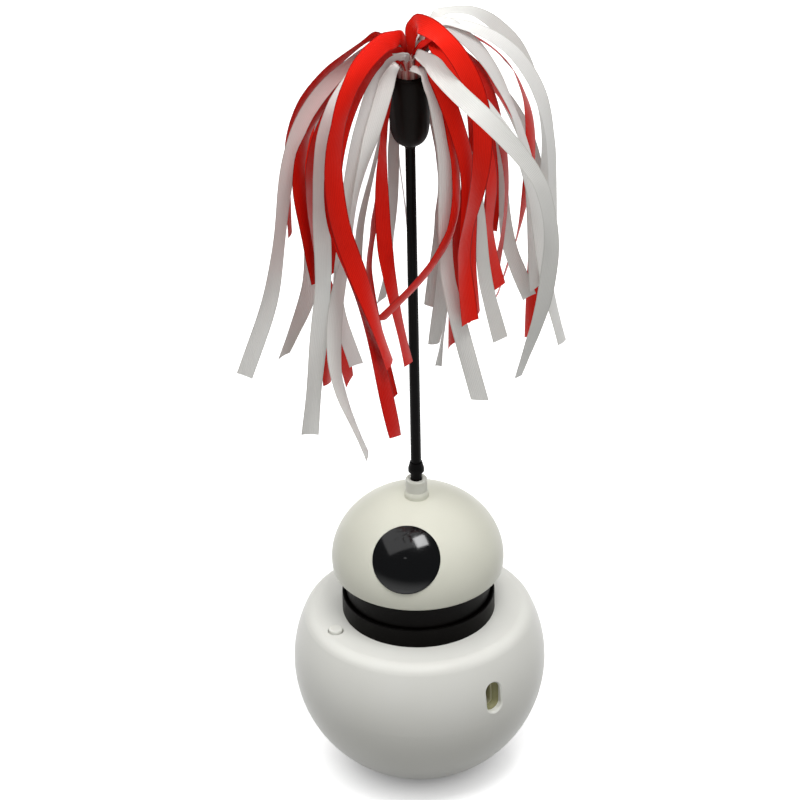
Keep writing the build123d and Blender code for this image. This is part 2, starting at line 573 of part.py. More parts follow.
with BuildPart() as base_shell:
    with BuildSketch(Plane.XZ) as shell_profile:
        with BuildLine():
            seam_angle = ball_angle(ball_radius, seam_height)
            deck_angle = ball_angle(ball_radius, deck_height)
            roof_angle = ball_angle(inner_radius, deck_underside)
            outer = CenterArc((0, ball_centre), ball_radius, seam_angle, deck_angle - seam_angle)
            Line(outer @ 1, (0, deck_height))
            Line((0, deck_height), (0, deck_underside))
            inner = CenterArc((0, ball_centre), inner_radius, roof_angle, -roof_angle)
            Line((0, deck_underside), inner @ 0)
            Line(inner @ 1, (inner_radius, seam_height))
            Line((inner_radius, seam_height), outer @ 0)
        make_face()
        fillet(shell_profile.vertices().group_by(Axis.Y)[-1].sort_by(Axis.X)[-1], deck_edge_round)
    revolve(axis=Axis.Z)
    with BuildSketch(Plane.XY.offset(deck_underside)):
        Circle(bush_radius + boss_wall)
    extrude(amount=-boss_drop)
    with BuildSketch(Plane.XY.offset(deck_underside)):
        with Locations(*base_posts):
            Circle(shell_post_radius)
    extrude(amount=seam_height - deck_underside)
    with BuildSketch(Plane.XY.offset(deck_underside)):
        with Locations(*plate_points):
            Circle(plate_post_radius)
    extrude(amount=plate_top - deck_underside)
    with BuildSketch(Plane.XY.offset(deck_underside)):
        with Locations(idler_point):
            Circle(axle_boss_radius)
    extrude(amount=-boss_drop)
    with BuildSketch(button_plane.offset(deck_underside)):
        with Locations(*switch_posts):
            Circle(switch_post_radius)
    extrude(amount=-switch_board_drop)
    rail_offsets = (-rail_wall / 2 - running_gap, board_thickness + rail_wall / 2 + running_gap)
    with BuildSketch(Plane.XY.offset(deck_underside)):
        for rail_offset in rail_offsets:
            with Locations(((board_start + board_end) / 2, board_face + rail_offset)):
                Rectangle(board_end - board_start - rail_inset, rail_wall)
    extrude(amount=-rail_depth)
    with BuildSketch(Plane.XY.offset(deck_height + overrun)):
        Circle(bush_radius + press_gap)
    extrude(amount=boss_bottom - deck_height - 2 * overrun, mode=Mode.SUBTRACT)
    with BuildSketch(Plane.XY.offset(seam_height)):
        with Locations(*base_posts):
            Circle(screw_radius + press_gap)
    extrude(amount=base_screw_length, mode=Mode.SUBTRACT)
    with BuildSketch(Plane.XY.offset(plate_top)):
        with Locations(*plate_points):
            Circle(small_screw_radius + press_gap)
    extrude(amount=plate_screw_length, mode=Mode.SUBTRACT)
    with BuildSketch(Plane.XY.offset(boss_bottom)):
        with Locations(idler_point):
            Circle(idler_axle_radius + press_gap)
    extrude(amount=axle_seat, mode=Mode.SUBTRACT)
    with BuildSketch(button_plane.offset(switch_board_top)):
        with Locations(*switch_posts):
            Circle(small_screw_radius + press_gap)
    extrude(amount=switch_screw_length, mode=Mode.SUBTRACT)
    with BuildSketch(button_plane.offset(deck_underside - overrun)):
        Circle(button_radius + turn_gap)
    extrude(amount=base_wall + 2 * overrun, mode=Mode.SUBTRACT)
    with BuildSketch(Plane.XY.offset(deck_underside - overrun)):
        with Locations(*collar_pegs):
            Circle(collar_peg_radius + press_gap)
    extrude(amount=base_wall + 2 * overrun, mode=Mode.SUBTRACT)
    with BuildSketch(Plane.YZ.offset(inner_radius - base_wall)):
        with Locations((0, slot_height)):
            SlotOverall(slot_length, slot_width, rotation=90)
    extrude(amount=2 * base_wall + overrun, mode=Mode.SUBTRACT)
    slot_rim = base_shell.edges(Select.LAST).filter_by(
        lambda edge: (edge.center() - Vector(0, 0, ball_centre)).length > ball_radius - base_wall / 2
        and edge.geom_type != GeomType.LINE)
    chamfer(slot_rim, slot_edge_chamfer)

# Ball base, lower bowl with the foot
ballast_points = [(-ballast_screw_x, ballast_screw_y), (ballast_screw_x, ballast_screw_y)]
post_seat = seam_height - well_floor

with BuildPart() as base_bowl:
    lip_radius = inner_radius - running_gap
    with BuildSketch(Plane.XY.offset(foot_proud)):
        with Locations(*base_posts):
            Circle(base_post_radius)
    extrude(amount=seam_height - foot_proud)
    with Locations((0, 0, ball_centre)):
        Sphere(ball_radius, mode=Mode.INTERSECT)
    with BuildSketch(Plane.XZ):
        with BuildLine():
            foot_angle = ball_angle(ball_radius, foot_proud)
            seam_angle = ball_angle(ball_radius, seam_height)
            floor_angle = ball_angle(inner_radius, bowl_floor)
            lip_angle = -math.degrees(math.acos((lip_radius - lip_wall) / inner_radius))
            outer = CenterArc((0, ball_centre), ball_radius, foot_angle, seam_angle - foot_angle)
            inner = CenterArc((0, ball_centre), inner_radius, floor_angle, lip_angle - floor_angle)
            Polyline(
                outer @ 1,
                (lip_radius, seam_height),
                (lip_radius, seam_height + lip_height),
                (lip_radius - lip_wall, seam_height + lip_height),
                inner @ 1,
            )
            Polyline(inner @ 0, (0, bowl_floor), (0, foot_proud), outer @ 0)
        make_face()
    revolve(axis=Axis.Z)
    with BuildSketch(Plane.XY.offset(bowl_floor)):
        with Locations(*ballast_points):
            Circle(ballast_boss_radius)
    extrude(amount=ballast_boss_height)
    with BuildSketch(Plane.XY.offset(bowl_floor + ballast_boss_height)):
        with Locations(*ballast_points):
            Circle(screw_radius + press_gap)
    extrude(amount=ballast_top - ballast_screw_length - bowl_floor - ballast_boss_height,
            mode=Mode.SUBTRACT)
    with BuildSketch(Plane.XY):
        with Locations(*base_posts):
            Circle(well_radius)
    extrude(amount=post_seat, mode=Mode.SUBTRACT)
    with BuildSketch(Plane.XY.offset(post_seat)):
        with Locations(*base_posts):
            Circle(screw_radius + loose_gap)
    extrude(amount=well_floor, mode=Mode.SUBTRACT)
    with BuildSketch(Plane.XY.offset(foot_proud)):
        Circle(pad_radius + running_gap)
    extrude(amount=pad_thickness - foot_proud, mode=Mode.SUBTRACT)

with BuildPart() as foot_pad:
    with BuildSketch():
        Circle(pad_radius)
    extrude(amount=pad_thickness)
    chamfer(foot_pad.edges().group_by(Axis.Z)[0], pad_chamfer)

base_screws = screws(base_posts, post_seat, -1, screw_head_radius, screw_head_height,
                     screw_radius, base_screw_length)

# Iron ballast, shaped to the bowl and notched round the screw posts
with BuildPart() as ballast:
    ballast_ball = inner_radius - loose_gap
    with BuildSketch(Plane.XZ):
        with BuildLine():
            low_angle = ball_angle(ballast_ball, bowl_floor)
            high_angle = ball_angle(ballast_ball, ballast_top)
            side = CenterArc((0, ball_centre), ballast_ball, low_angle, high_angle - low_angle)
            Polyline(side @ 1, (0, ballast_top), (0, bowl_floor), side @ 0)
        make_face()
    revolve(axis=Axis.Z)
    with BuildSketch(Plane.XY.offset(bowl_floor)):
        with Locations(*base_posts):
            Circle(base_post_radius + loose_gap)
        with Locations(*ballast_points):
            Circle(screw_radius + loose_gap)
    extrude(amount=ballast_top - bowl_floor, mode=Mode.SUBTRACT)
    with BuildSketch(Plane.XY.offset(bowl_floor)):
        with Locations(*ballast_points):
            Circle(ballast_boss_radius + loose_gap)
    extrude(amount=ballast_boss_height + loose_gap, mode=Mode.SUBTRACT)

ballast_screws = screws(ballast_points, ballast_top, 1, screw_head_radius, screw_head_height,
                        screw_radius, ballast_screw_length)

# Battery cell in a snap-in cradle on the ballast
cell_axis = ballast_top + cradle_wall + cell_radius
cell_start = cell_shift_x - cell_length / 2
cell_end = cell_shift_x + cell_length / 2

with BuildPart() as battery_cell:
    with BuildSketch(Plane.YZ.offset(cell_start)):
        with Locations((cell_shift_y, cell_axis)):
            Circle(cell_radius)
    extrude(amount=cell_length)
    with BuildSketch(Plane.YZ.offset(cell_end)):
        with Locations((cell_shift_y, cell_axis)):
            Circle(cell_nub_radius)
    extrude(amount=cell_nub_length)

with BuildPart() as battery_cradle:
    cradle_start = cell_start - loose_gap - cradle_end_wall
    cradle_length = cell_length + cell_nub_length + 2 * (loose_gap + cradle_end_wall)
    cradle_width = 2 * (cell_radius + cradle_wall)
    cradle_height = cradle_wall + 2 * cell_radius * cradle_grip_share
    with BuildSketch(Plane.YZ.offset(cradle_start)):
        with Locations((cell_shift_y, ballast_top)):
            Rectangle(cradle_width, cradle_height, align=(Align.CENTER, Align.MIN))
    extrude(amount=cradle_length)
    with BuildSketch(Plane.YZ.offset(cradle_start + cradle_end_wall)):
        with Locations((cell_shift_y, cell_axis)):
            Circle(cell_radius + press_gap)
    extrude(amount=cradle_length - 2 * cradle_end_wall, mode=Mode.SUBTRACT)
    with Locations((0, 0, ball_centre)):
        Sphere(inner_radius - turn_gap, mode=Mode.INTERSECT)

# Main board, standing on edge between two rails, with the charging receptacle
port_start = port_mouth - port_depth

with BuildPart() as circuit_board:
    with BuildSketch(Plane.XZ.offset(-board_face)):
        with Locations((board_start, board_bottom)):
            Rectangle(board_end - board_start, board_top - board_bottom,
                      align=(Align.MIN, Align.MIN))
    extrude(amount=-board_thickness)

with BuildPart() as board_chips:
    with BuildSketch(Plane.XZ.offset(-board_face)):
        with Locations((board_start + chip_size, board_bottom + chip_size)):
            with GridLocations(2 * chip_size, 2 * chip_size, 2, 2,
                               align=(Align.MIN, Align.MIN)):
                Rectangle(chip_size, chip_size)
    extrude(amount=chip_height)

with BuildPart() as charging_port:
    with BuildSketch(Plane.YZ.offset(port_start)):
        with Locations((0, slot_height)):
            SlotOverall(port_length, port_width, rotation=90)
    extrude(amount=port_depth)
    with BuildSketch(Plane.YZ.offset(port_start + port_back)):
        with Locations((0, slot_height)):
            SlotOverall(port_length - 2 * port_wall, port_width - 2 * port_wall, rotation=90)
    extrude(amount=port_depth, mode=Mode.SUBTRACT)

with BuildPart() as port_tongue:
    with BuildSketch(Plane.YZ.offset(port_start + port_back)):
        with Locations((0, slot_height)):
            Rectangle(tongue_thickness, tongue_width)
    extrude(amount=tongue_length)

# Power button and its switch
with BuildPart() as switch_board:
    with BuildSketch(button_plane.offset(switch_board_top)):
        Rectangle(switch_board_width, switch_board_length)
        with Locations(*switch_posts):
            Circle(small_screw_radius + loose_gap, mode=Mode.SUBTRACT)
    extrude(amount=-switch_board_thickness)

switch_screws = screws(plan_points(button_plane, switch_posts),
                       switch_board_top - switch_board_thickness, -1, small_head_radius,
                       small_head_height, small_screw_radius, switch_screw_length)

with BuildPart() as tact_switch:
    with BuildSketch(button_plane.offset(switch_board_top)):
        Rectangle(switch_body, switch_body)
    extrude(amount=switch_body_height)
    with BuildSketch(button_plane.offset(switch_top)):
        Circle(plunger_radius + running_gap)
    extrude(amount=-plunger_bore_depth, mode=Mode.SUBTRACT)

flange_top = deck_underside - running_gap
flange_bottom = flange_top - button_flange_height
plunger_bottom = switch_top - plunger_bore_depth + button_travel + loose_gap

with BuildPart() as power_button:
    with BuildSketch(button_plane.offset(flange_bottom)):
        Circle(button_radius + button_flange)
    extrude(amount=button_flange_height)
    with BuildSketch(button_plane.offset(flange_bottom)):
        Circle(button_radius)
    extrude(amount=deck_height + button_proud - flange_bottom)
    fillet(power_button.edges().group_by(Axis.Z)[-1], button_edge_round)

with BuildPart() as switch_plunger:
    with BuildSketch(button_plane.offset(plunger_bottom)):
        Circle(plunger_radius)
    extrude(amount=flange_bottom - plunger_bottom)

# Black collar, pegged through the deck
with BuildPart() as neck_collar:
    collar_bore = collar_radius - collar_wall
    collar_top = deck_height + collar_height
    with BuildSketch(Plane.XZ) as collar_profile:
        with BuildLine():
            Polyline(
                (collar_radius, deck_height),
                (collar_radius, collar_top),
                (collar_bore, collar_top),
                (collar_bore, deck_height + collar_foot),
                (collar_bore - collar_foot_width, deck_height + collar_foot),
                (collar_bore - collar_foot_width, deck_height),
                close=True,
            )
        make_face()
        fillet(collar_profile.vertices().group_by(Axis.Y)[-1], collar_rim_round)
    revolve(axis=Axis.Z)
    with BuildSketch(Plane.XY.offset(deck_height)):
        with Locations(*collar_pegs):
            Circle(collar_peg_radius)
    extrude(amount=-base_wall - collar_peg_head_height)
    with BuildSketch(Plane.XY.offset(deck_underside)):
        with Locations(*collar_pegs):
            Circle(collar_peg_head)
    extrude(amount=-collar_peg_head_height)

# Bush in the deck, and the contacts that feed the head
bush_top = deck_height + bush_flange

with BuildPart() as spindle_bush:
    with BuildSketch(Plane.XY.offset(boss_bottom)):
        Circle(bush_radius)
    extrude(amount=deck_height - boss_bottom)
    with BuildSketch(Plane.XY.offset(deck_height)):
        Circle(bush_flange_radius)
    extrude(amount=bush_flange)
    with BuildSketch(Plane.XY.offset(boss_bottom)):
        Circle(spindle_radius + running_gap)
    extrude(amount=bush_top - boss_bottom, mode=Mode.SUBTRACT)

brush_middle = sum(ring_radii) / len(ring_radii)
brush_plane = Plane(origin=(*polar(brush_middle, brush_heading), deck_height),
                    x_dir=(*polar(1, brush_heading), 0))

with BuildPart() as brush_block:
    with BuildSketch(brush_plane):
        Rectangle(brush_block_length, brush_block_width)
    extrude(amount=brush_block_height)

with BuildPart() as brush_contacts:
    strip_base = deck_height + brush_block_height
    strip_rise = neck_bottom - ring_thickness - running_gap - strip_base
    for radius in ring_radii:
        side_plane = Plane(origin=(*polar(radius, brush_heading), strip_base),
                           x_dir=(*polar(1, brush_heading + 90), 0),
                           z_dir=(*polar(1, brush_heading), 0))
        with BuildSketch(side_plane):
            with BuildLine():
                half = brush_strip_length / 2
                ThreePointArc((-half, 0), (0, strip_rise), (half, 0))
                Line((half, 0), (half - brush_strip, 0))
                ThreePointArc((half - brush_strip, 0), (0, strip_rise - brush_strip),
                              (brush_strip - half, 0))
                Line((brush_strip - half, 0), (-half, 0))
            make_face()
        extrude(amount=brush_strip_width / 2, both=True)

with BuildPart() as slip_rings:
    with BuildSketch(Plane.XY.offset(neck_bottom - ring_thickness)):
        for radius in reversed(ring_radii):
            Circle(radius + ring_width / 2)
            Circle(radius - ring_width / 2, mode=Mode.SUBTRACT)
    extrude(amount=ring_thickness)

# Gear train
idler_back = idler_heading + 180
motor_back = motor_heading + 180
half_pinion_pitch = 180 / idler_pinion_teeth
half_motor_pitch = 180 / motor_pinion_teeth

with BuildPart() as output_gear:
    extrude(gear((0, 0, head_gear_bottom), head_module, head_teeth, idler_heading),
            amount=head_gear_width)
    with BuildSketch(Plane.XY.offset(head_gear_bottom)):
        Circle(spindle_radius + press_gap)
        with PolarLocations((head_gear_hub_radius + head_module * head_teeth / 2) / 2, web_holes):
            Circle(web_hole_radius)
    extrude(amount=head_gear_width, mode=Mode.SUBTRACT)

with BuildPart() as idler_gear:
    extrude(gear((*idler_point, wheel_bottom), motor_module, idler_wheel_teeth, motor_heading),
            amount=wheel_width)
    extrude(gear((*idler_point, wheel_top), head_module, idler_pinion_teeth,
                 idler_back + half_pinion_pitch),
            amount=head_gear_top - wheel_top)
    with BuildSketch(Plane.XY.offset(wheel_bottom)):
        with Locations(idler_point):
            Circle(idler_axle_radius + running_gap)
    extrude(amount=head_gear_top - wheel_bottom, mode=Mode.SUBTRACT)

with BuildPart() as idler_axle:
    with BuildSketch(Plane.XY.offset(plate_bottom)):
        with Locations(idler_point):
            Circle(idler_axle_radius)
    extrude(amount=boss_bottom + axle_seat - loose_gap - plate_bottom)

with BuildPart() as motor_pinion:
    extrude(gear((*motor_point, wheel_bottom - loose_gap), motor_module, motor_pinion_teeth,
                 motor_back + half_motor_pitch),
            amount=wheel_width + 2 * loose_gap)
    with BuildSketch(Plane.XY.offset(wheel_bottom - loose_gap)):
        with Locations(motor_point):
            Circle(motor_shaft_radius + press_gap)
    extrude(amount=wheel_width + 2 * loose_gap, mode=Mode.SUBTRACT)

with BuildPart() as motor_shaft:
    with BuildSketch(Plane.XY.offset(plate_bottom - motor_shaft_seat)):
        with Locations(motor_point):
            Circle(motor_shaft_radius)
    extrude(amount=wheel_top + loose_gap - plate_bottom + motor_shaft_seat)

# Plate that carries the motor and the idler's axle, and the motor under it
motor_plane = Plane(origin=(*motor_point, 0), x_dir=(*polar(1, motor_heading + 90), 0))
motor_screw_offsets = [(-motor_screw_spread, 0), (motor_screw_spread, 0)]
motor_screw_points = plan_points(motor_plane, motor_screw_offsets)

with BuildPart() as gear_plate:
    with BuildSketch(Plane.XY.offset(plate_bottom)):
        with Locations(*plate_points):
            Circle(plate_post_radius + plate_rim)
        with Locations(motor_point):
            Circle(motor_radius + motor_pad_margin)
        make_hull()
    extrude(amount=plate_thickness)
    with BuildSketch(Plane.XY.offset(plate_bottom)):
        with Locations(*plate_points):
            Circle(small_screw_radius + loose_gap)
        with Locations(motor_point):
            Circle(motor_boss_radius + loose_gap)
        with Locations(idler_point):
            Circle(idler_axle_radius + press_gap)
        with Locations(*motor_screw_points):
            Circle(motor_screw_radius + loose_gap)
    extrude(amount=plate_thickness, mode=Mode.SUBTRACT)
    with BuildSketch(Plane.XY.offset(plate_top)):
        with Locations(*motor_screw_points):
            Circle(motor_screw_head + loose_gap)
    extrude(amount=-motor_screw_head_height, mode=Mode.SUBTRACT)

plate_screws = screws(plate_points, plate_bottom, -1, small_head_radius, small_head_height,
                      small_screw_radius, plate_screw_length)
motor_screws = screws(motor_screw_points, plate_top - motor_screw_head_height, 1,
                      motor_screw_head, motor_screw_head_height, motor_screw_radius,
                      motor_screw_length)

with BuildPart() as drive_motor:
    with BuildSketch(motor_plane.offset(plate_bottom)):
        Circle(motor_radius)
        Rectangle(2 * motor_radius, 2 * motor_flat, mode=Mode.INTERSECT)
    extrude(amount=-motor_length)
    with BuildSketch(motor_plane.offset(plate_bottom)):
        Circle(motor_boss_radius)
    extrude(amount=motor_boss_height)
    with BuildSketch(motor_plane.offset(plate_bottom - motor_shaft_seat)):
        Circle(motor_shaft_radius + running_gap)
    extrude(amount=motor_shaft_seat + motor_boss_height, mode=Mode.SUBTRACT)
    with BuildSketch(motor_plane.offset(plate_bottom)):
        with Locations(*motor_screw_offsets):
            Circle(motor_screw_radius + press_gap)
    extrude(amount=-motor_screw_length, mode=Mode.SUBTRACT)

motor_bottom = plate_bottom - motor_length

with BuildPart() as motor_endcap:
    with BuildSketch(motor_plane.offset(motor_bottom)):
        Circle(motor_radius - endcap_inset)
        Rectangle(2 * motor_radius, 2 * (motor_flat - endcap_inset), mode=Mode.INTERSECT)
    extrude(amount=-endcap_height)

with BuildPart() as motor_terminals:
    with BuildSketch(motor_plane.offset(motor_bottom - endcap_height)):
        with Locations((-tab_spread, 0), (tab_spread, 0)):
            Rectangle(tab_thickness, tab_width)
    extrude(amount=-tab_length)

# Spindle with its clip
shoulder_bottom = bush_top + running_gap
groove_top = clip_top + running_gap
groove_bottom = clip_top - clip_thickness - 2 * running_gap
groove_radius = spindle_radius - clip_groove

with BuildPart() as spindle:
    with BuildSketch(Plane.XZ):
        with BuildLine():
            Polyline(
                (spindle_bore, spindle_bottom),
                (spindle_radius, spindle_bottom),
                (spindle_radius, groove_bottom),
                (groove_radius, groove_bottom),
                (groove_radius, groove_top),
                (spindle_radius, groove_top),
                (spindle_radius, shoulder_bottom),
                (spindle_shoulder_radius, shoulder_bottom),
                (spindle_shoulder_radius, neck_bottom),
                (spindle_radius, neck_bottom),
                (spindle_radius, spindle_top),
                (spindle_bore, spindle_top),
                close=True,
            )
        make_face()
    revolve(axis=Axis.Z)

with BuildPart() as spindle_clip:
    with BuildSketch(Plane.XY.offset(clip_top - running_gap)):
        Circle(clip_radius)
        Circle(groove_radius + press_gap, mode=Mode.SUBTRACT)
        with Locations((0, clip_radius)):
            Rectangle(clip_opening, 2 * clip_radius, mode=Mode.SUBTRACT)
    extrude(amount=-clip_thickness)

# Neck drum, the head's floor
head_posts = circle_points(head_post_circle, head_post_count, eye_heading + head_post_turn)
head_plane = Plane(origin=(0, 0, 0), x_dir=(*polar(1, eye_heading), 0))
bracket_offsets = [(bracket_screw_reach, -bracket_screw_spread),
                   (bracket_screw_reach, bracket_screw_spread)]
bracket_points = plan_points(head_plane, bracket_offsets)
flange_underside = head_rim + neck_flange_lift
flange_radius = head_radius - head_wall - neck_flange_gap
hub_radius = spindle_radius + hub_wall

with BuildPart() as neck_drum:
    with BuildSketch(Plane.XZ):
        with BuildLine():
            Polyline(
                (spindle_radius + press_gap, neck_bottom),
                (neck_radius, neck_bottom),
                (neck_radius, flange_underside),
                (flange_radius, flange_underside),
                (flange_radius, flange_underside + neck_flange),
                (neck_radius - neck_wall, flange_underside + neck_flange),
                (neck_radius - neck_wall, neck_floor_top),
                (hub_radius, neck_floor_top),
                (hub_radius, spindle_top),
                (spindle_radius + press_gap, spindle_top),
                close=True,
            )
        make_face()
    revolve(axis=Axis.Z)
    with BuildSketch(Plane.XY.offset(neck_bottom)):
        with Locations(*head_posts):
            Circle(small_head_radius + loose_gap)
    extrude(amount=small_head_height, mode=Mode.SUBTRACT)
    with BuildSketch(Plane.XY.offset(neck_bottom)):
        with Locations(*head_posts):
            Circle(small_screw_radius + loose_gap)
        with Locations(*bracket_points):
            Circle(small_screw_radius + press_gap)
    extrude(amount=neck_floor, mode=Mode.SUBTRACT)

head_screws = screws(head_posts, neck_bottom + small_head_height, -1, small_head_radius,
                     small_head_height, small_screw_radius, head_screw_length)

# Head dome
eye_section = upright_plane(eye_heading)
eye_reach = head_radius * math.cos(math.radians(eye_rise_angle))
eye_height = head_centre + head_rise * math.sin(math.radians(eye_rise_angle))
eye_tilt = math.atan2(math.sin(math.radians(eye_rise_angle)) / head_rise,
                      math.cos(math.radians(eye_rise_angle)) / head_radius)
eye_point = eye_section.from_local_coords(Vector(eye_reach, eye_height, 0))
eye_normal = eye_section.x_dir * math.cos(eye_tilt) + Vector(0, 0, 1) * math.sin(eye_tilt)
eye_side = eye_section.z_dir
eye_plane = Plane(origin=eye_point, x_dir=eye_side, z_dir=eye_normal)
eye_profile = Plane(origin=eye_point, x_dir=eye_side, z_dir=eye_side.cross(eye_normal))
eye_cut_depth = eye_edge_drop + eye_rim_depth + eye_flange

with BuildPart() as head_dome:
    with BuildSketch(Plane.XY.offset(neck_floor_top)):
        with Locations(*head_posts):
            Circle(head_post_radius)
    extrude(amount=dome_apex - neck_floor_top)
    with BuildSketch(Plane.XZ):
        with Locations((0, head_centre)):
            Ellipse(head_radius - head_wall / 2, head_rise - head_wall / 2)
            Rectangle(2 * head_radius, 2 * (head_centre - neck_floor_top))
        with Locations((0, neck_floor_top)):
            Rectangle(head_radius, dome_apex - neck_floor_top, mode=Mode.INTERSECT,
                      align=(Align.MIN, Align.MIN))
    revolve(axis=Axis.Z, mode=Mode.INTERSECT)
    with BuildSketch(Plane.XZ) as dome_profile:
        with Locations((0, head_centre)):
            Ellipse(head_radius, head_rise)
            Ellipse(head_radius - head_wall, head_rise - head_wall, mode=Mode.SUBTRACT)
        with Locations((0, head_rim)):
            Rectangle(head_radius, dome_apex - head_rim, mode=Mode.INTERSECT,
                      align=(Align.MIN, Align.MIN))
        fillet(dome_profile.vertices().group_by(Axis.Y)[0].sort_by(Axis.X)[-1], head_rim_round)
    revolve(axis=Axis.Z)
    with BuildSketch(Plane.XY.offset(dome_apex - head_wall)):
        Circle(crown_radius)
    extrude(amount=crown_top - dome_apex + head_wall)
    crown_edges = head_dome.edges().filter_by(GeomType.CIRCLE).filter_by(
        lambda edge: abs(edge.radius - crown_radius) < press_gap)
    fillet(crown_edges.sort_by(Axis.Z)[0], crown_round)
    with BuildSketch(Plane.XY.offset(dome_apex - 2 * head_wall)):
        Circle(socket_radius + press_gap)
    extrude(amount=crown_top - dome_apex + 2 * head_wall, mode=Mode.SUBTRACT)
    with BuildSketch(eye_plane.offset(-eye_cut_depth)):
        Circle(eye_radius + eye_hole_gap)
    extrude(amount=eye_cut_depth + crown_height, mode=Mode.SUBTRACT)
    with BuildSketch(Plane.XY.offset(neck_floor_top)):
        with Locations(*head_posts):
            Circle(small_screw_radius + press_gap)
    extrude(amount=head_screw_length, mode=Mode.SUBTRACT)

# Window: a convex dark cover with a flange behind the dome's wall
with BuildPart() as eye_window:
    with BuildSketch(eye_profile):
        with BuildLine():
            rim_bottom = -eye_edge_drop - eye_rim_depth
            flange_edge = eye_radius + eye_flange_width
            bowl_edge = eye_radius - eye_wall
            sag = eye_bulge + eye_edge_drop
            glass_radius = (eye_radius ** 2 + sag ** 2) / (2 * sag)
            half_way = eye_radius / 2
            half_drop = glass_radius - math.sqrt(glass_radius ** 2 - half_way ** 2)
            inner_sag = glass_radius - math.sqrt(glass_radius ** 2 - bowl_edge ** 2)
            inner_half = bowl_edge / 2
            inner_half_drop = glass_radius - math.sqrt(glass_radius ** 2 - inner_half ** 2)
            inner_top = eye_bulge - eye_wall
            ThreePointArc((0, eye_bulge), (half_way, eye_bulge - half_drop),
                          (eye_radius, -eye_edge_drop))
            Polyline(
                (eye_radius, -eye_edge_drop),
                (eye_radius, rim_bottom),
                (flange_edge, rim_bottom),
                (flange_edge, rim_bottom - eye_flange),
                (bowl_edge, rim_bottom - eye_flange),
                (bowl_edge, inner_top - inner_sag),
            )
            ThreePointArc((bowl_edge, inner_top - inner_sag),
                          (inner_half, inner_top - inner_half_drop), (0, inner_top))
            Line((0, inner_top), (0, eye_bulge))
        make_face()
    revolve(axis=Axis(eye_point, eye_normal))

# Laser module on its bracket, aimed through the lower part of the window
laser_middle = eye_section.from_local_coords(Vector(laser_reach, laser_height, 0))
dip = math.radians(laser_dip)
laser_aim = eye_section.x_dir * math.cos(dip) - Vector(0, 0, 1) * math.sin(dip)
laser_plane = Plane(origin=laser_middle, x_dir=eye_side, z_dir=laser_aim)
laser_front = laser_plane.offset(laser_length / 2)
laser_back = laser_plane.offset(-laser_length / 2)

with BuildPart() as laser_barrel:
    with BuildSketch(laser_back):
        Circle(laser_radius)
        Circle(laser_bore, mode=Mode.SUBTRACT)
    extrude(amount=laser_length)
    with BuildSketch(laser_front):
        Circle(laser_lens_radius + press_gap)
    extrude(amount=-laser_lens_depth - laser_lens_thickness, mode=Mode.SUBTRACT)

with BuildPart() as laser_lens:
    with BuildSketch(laser_front.offset(-laser_lens_depth)):
        Circle(laser_lens_radius)
    extrude(amount=-laser_lens_thickness)

with BuildPart() as laser_board:
    with BuildSketch(laser_back):
        Circle(laser_radius)
    extrude(amount=-laser_board_thickness)

bracket_plane = Plane(origin=eye_section.from_local_coords(Vector(laser_reach, 0, 0)),
                      x_dir=eye_side * -1, z_dir=eye_section.x_dir)

with BuildPart() as laser_bracket:
    with BuildSketch(bracket_plane.offset(-bracket_thickness / 2)):
        with Locations((0, laser_height)):
            Circle(laser_radius + bracket_ring)
        with Locations((0, neck_floor_top)):
            Rectangle(bracket_width, laser_height - neck_floor_top,
                      align=(Align.CENTER, Align.MIN))
    extrude(amount=bracket_thickness)
    with BuildSketch(head_plane.offset(neck_floor_top)):
        with Locations((laser_reach - bracket_thickness / 2, 0)):
            Rectangle(bracket_foot_length - bracket_thickness, bracket_width,
                      align=(Align.MIN, Align.CENTER))
    extrude(amount=bracket_foot)
    with BuildSketch(laser_back):
        Circle(laser_radius + press_gap)
    extrude(amount=laser_length, mode=Mode.SUBTRACT)
    with BuildSketch(head_plane.offset(neck_floor_top)):
        with Locations(*bracket_offsets):
            Circle(small_screw_radius + loose_gap)
    extrude(amount=bracket_foot, mode=Mode.SUBTRACT)

bracket_screws = screws(bracket_points, neck_floor_top + bracket_foot, 1, small_head_radius,
                        small_head_height, small_screw_radius, bracket_screw_length)

# Wand socket in the crown of the dome
flange_ceiling = dome_apex - socket_flange_drop

with BuildPart() as wand_socket:
    with BuildSketch(Plane.XY.offset(socket_bottom)):
        Circle(socket_radius)
    extrude(amount=socket_top - socket_bottom)
    with BuildSketch(Plane.XY.offset(flange_ceiling)):
        Circle(socket_flange_radius)
    extrude(amount=-socket_flange)
    with BuildSketch(Plane.XY.offset(socket_top)):
        Circle(plug_radius + running_gap)
    extrude(amount=plug_bottom - socket_top, mode=Mode.SUBTRACT)
    fillet(wand_socket.edges().group_by(Axis.Z)[-1], socket_edge_round)

# Wand
with BuildPart() as wand_ferrule:
    with BuildSketch(Plane.XZ):
        with BuildLine():
            Polyline(
                (0, plug_bottom),
                (plug_radius - plug_nose_chamfer, plug_bottom),
                (plug_radius, plug_bottom + plug_nose_chamfer),
                (plug_radius, ferrule_bottom),
                (ferrule_radius, ferrule_bottom),
                (ferrule_radius, ferrule_top - ferrule_cone),
                (rod_radius + ferrule_lip, ferrule_top),
                (rod_radius + press_gap, ferrule_top),
                (rod_radius + press_gap, rod_bottom),
                (0, rod_bottom),
                close=True,
            )
        make_face()
    revolve(axis=Axis.Z)

with BuildPart() as wand_rod:
    with BuildSketch(Plane.XZ):
        with BuildLine():
            Polyline((0, rod_bottom), (rod_radius, rod_bottom), (rod_tip_radius, rod_top),
                     (0, rod_top), close=True)
        make_face()
    revolve(axis=Axis.Z)

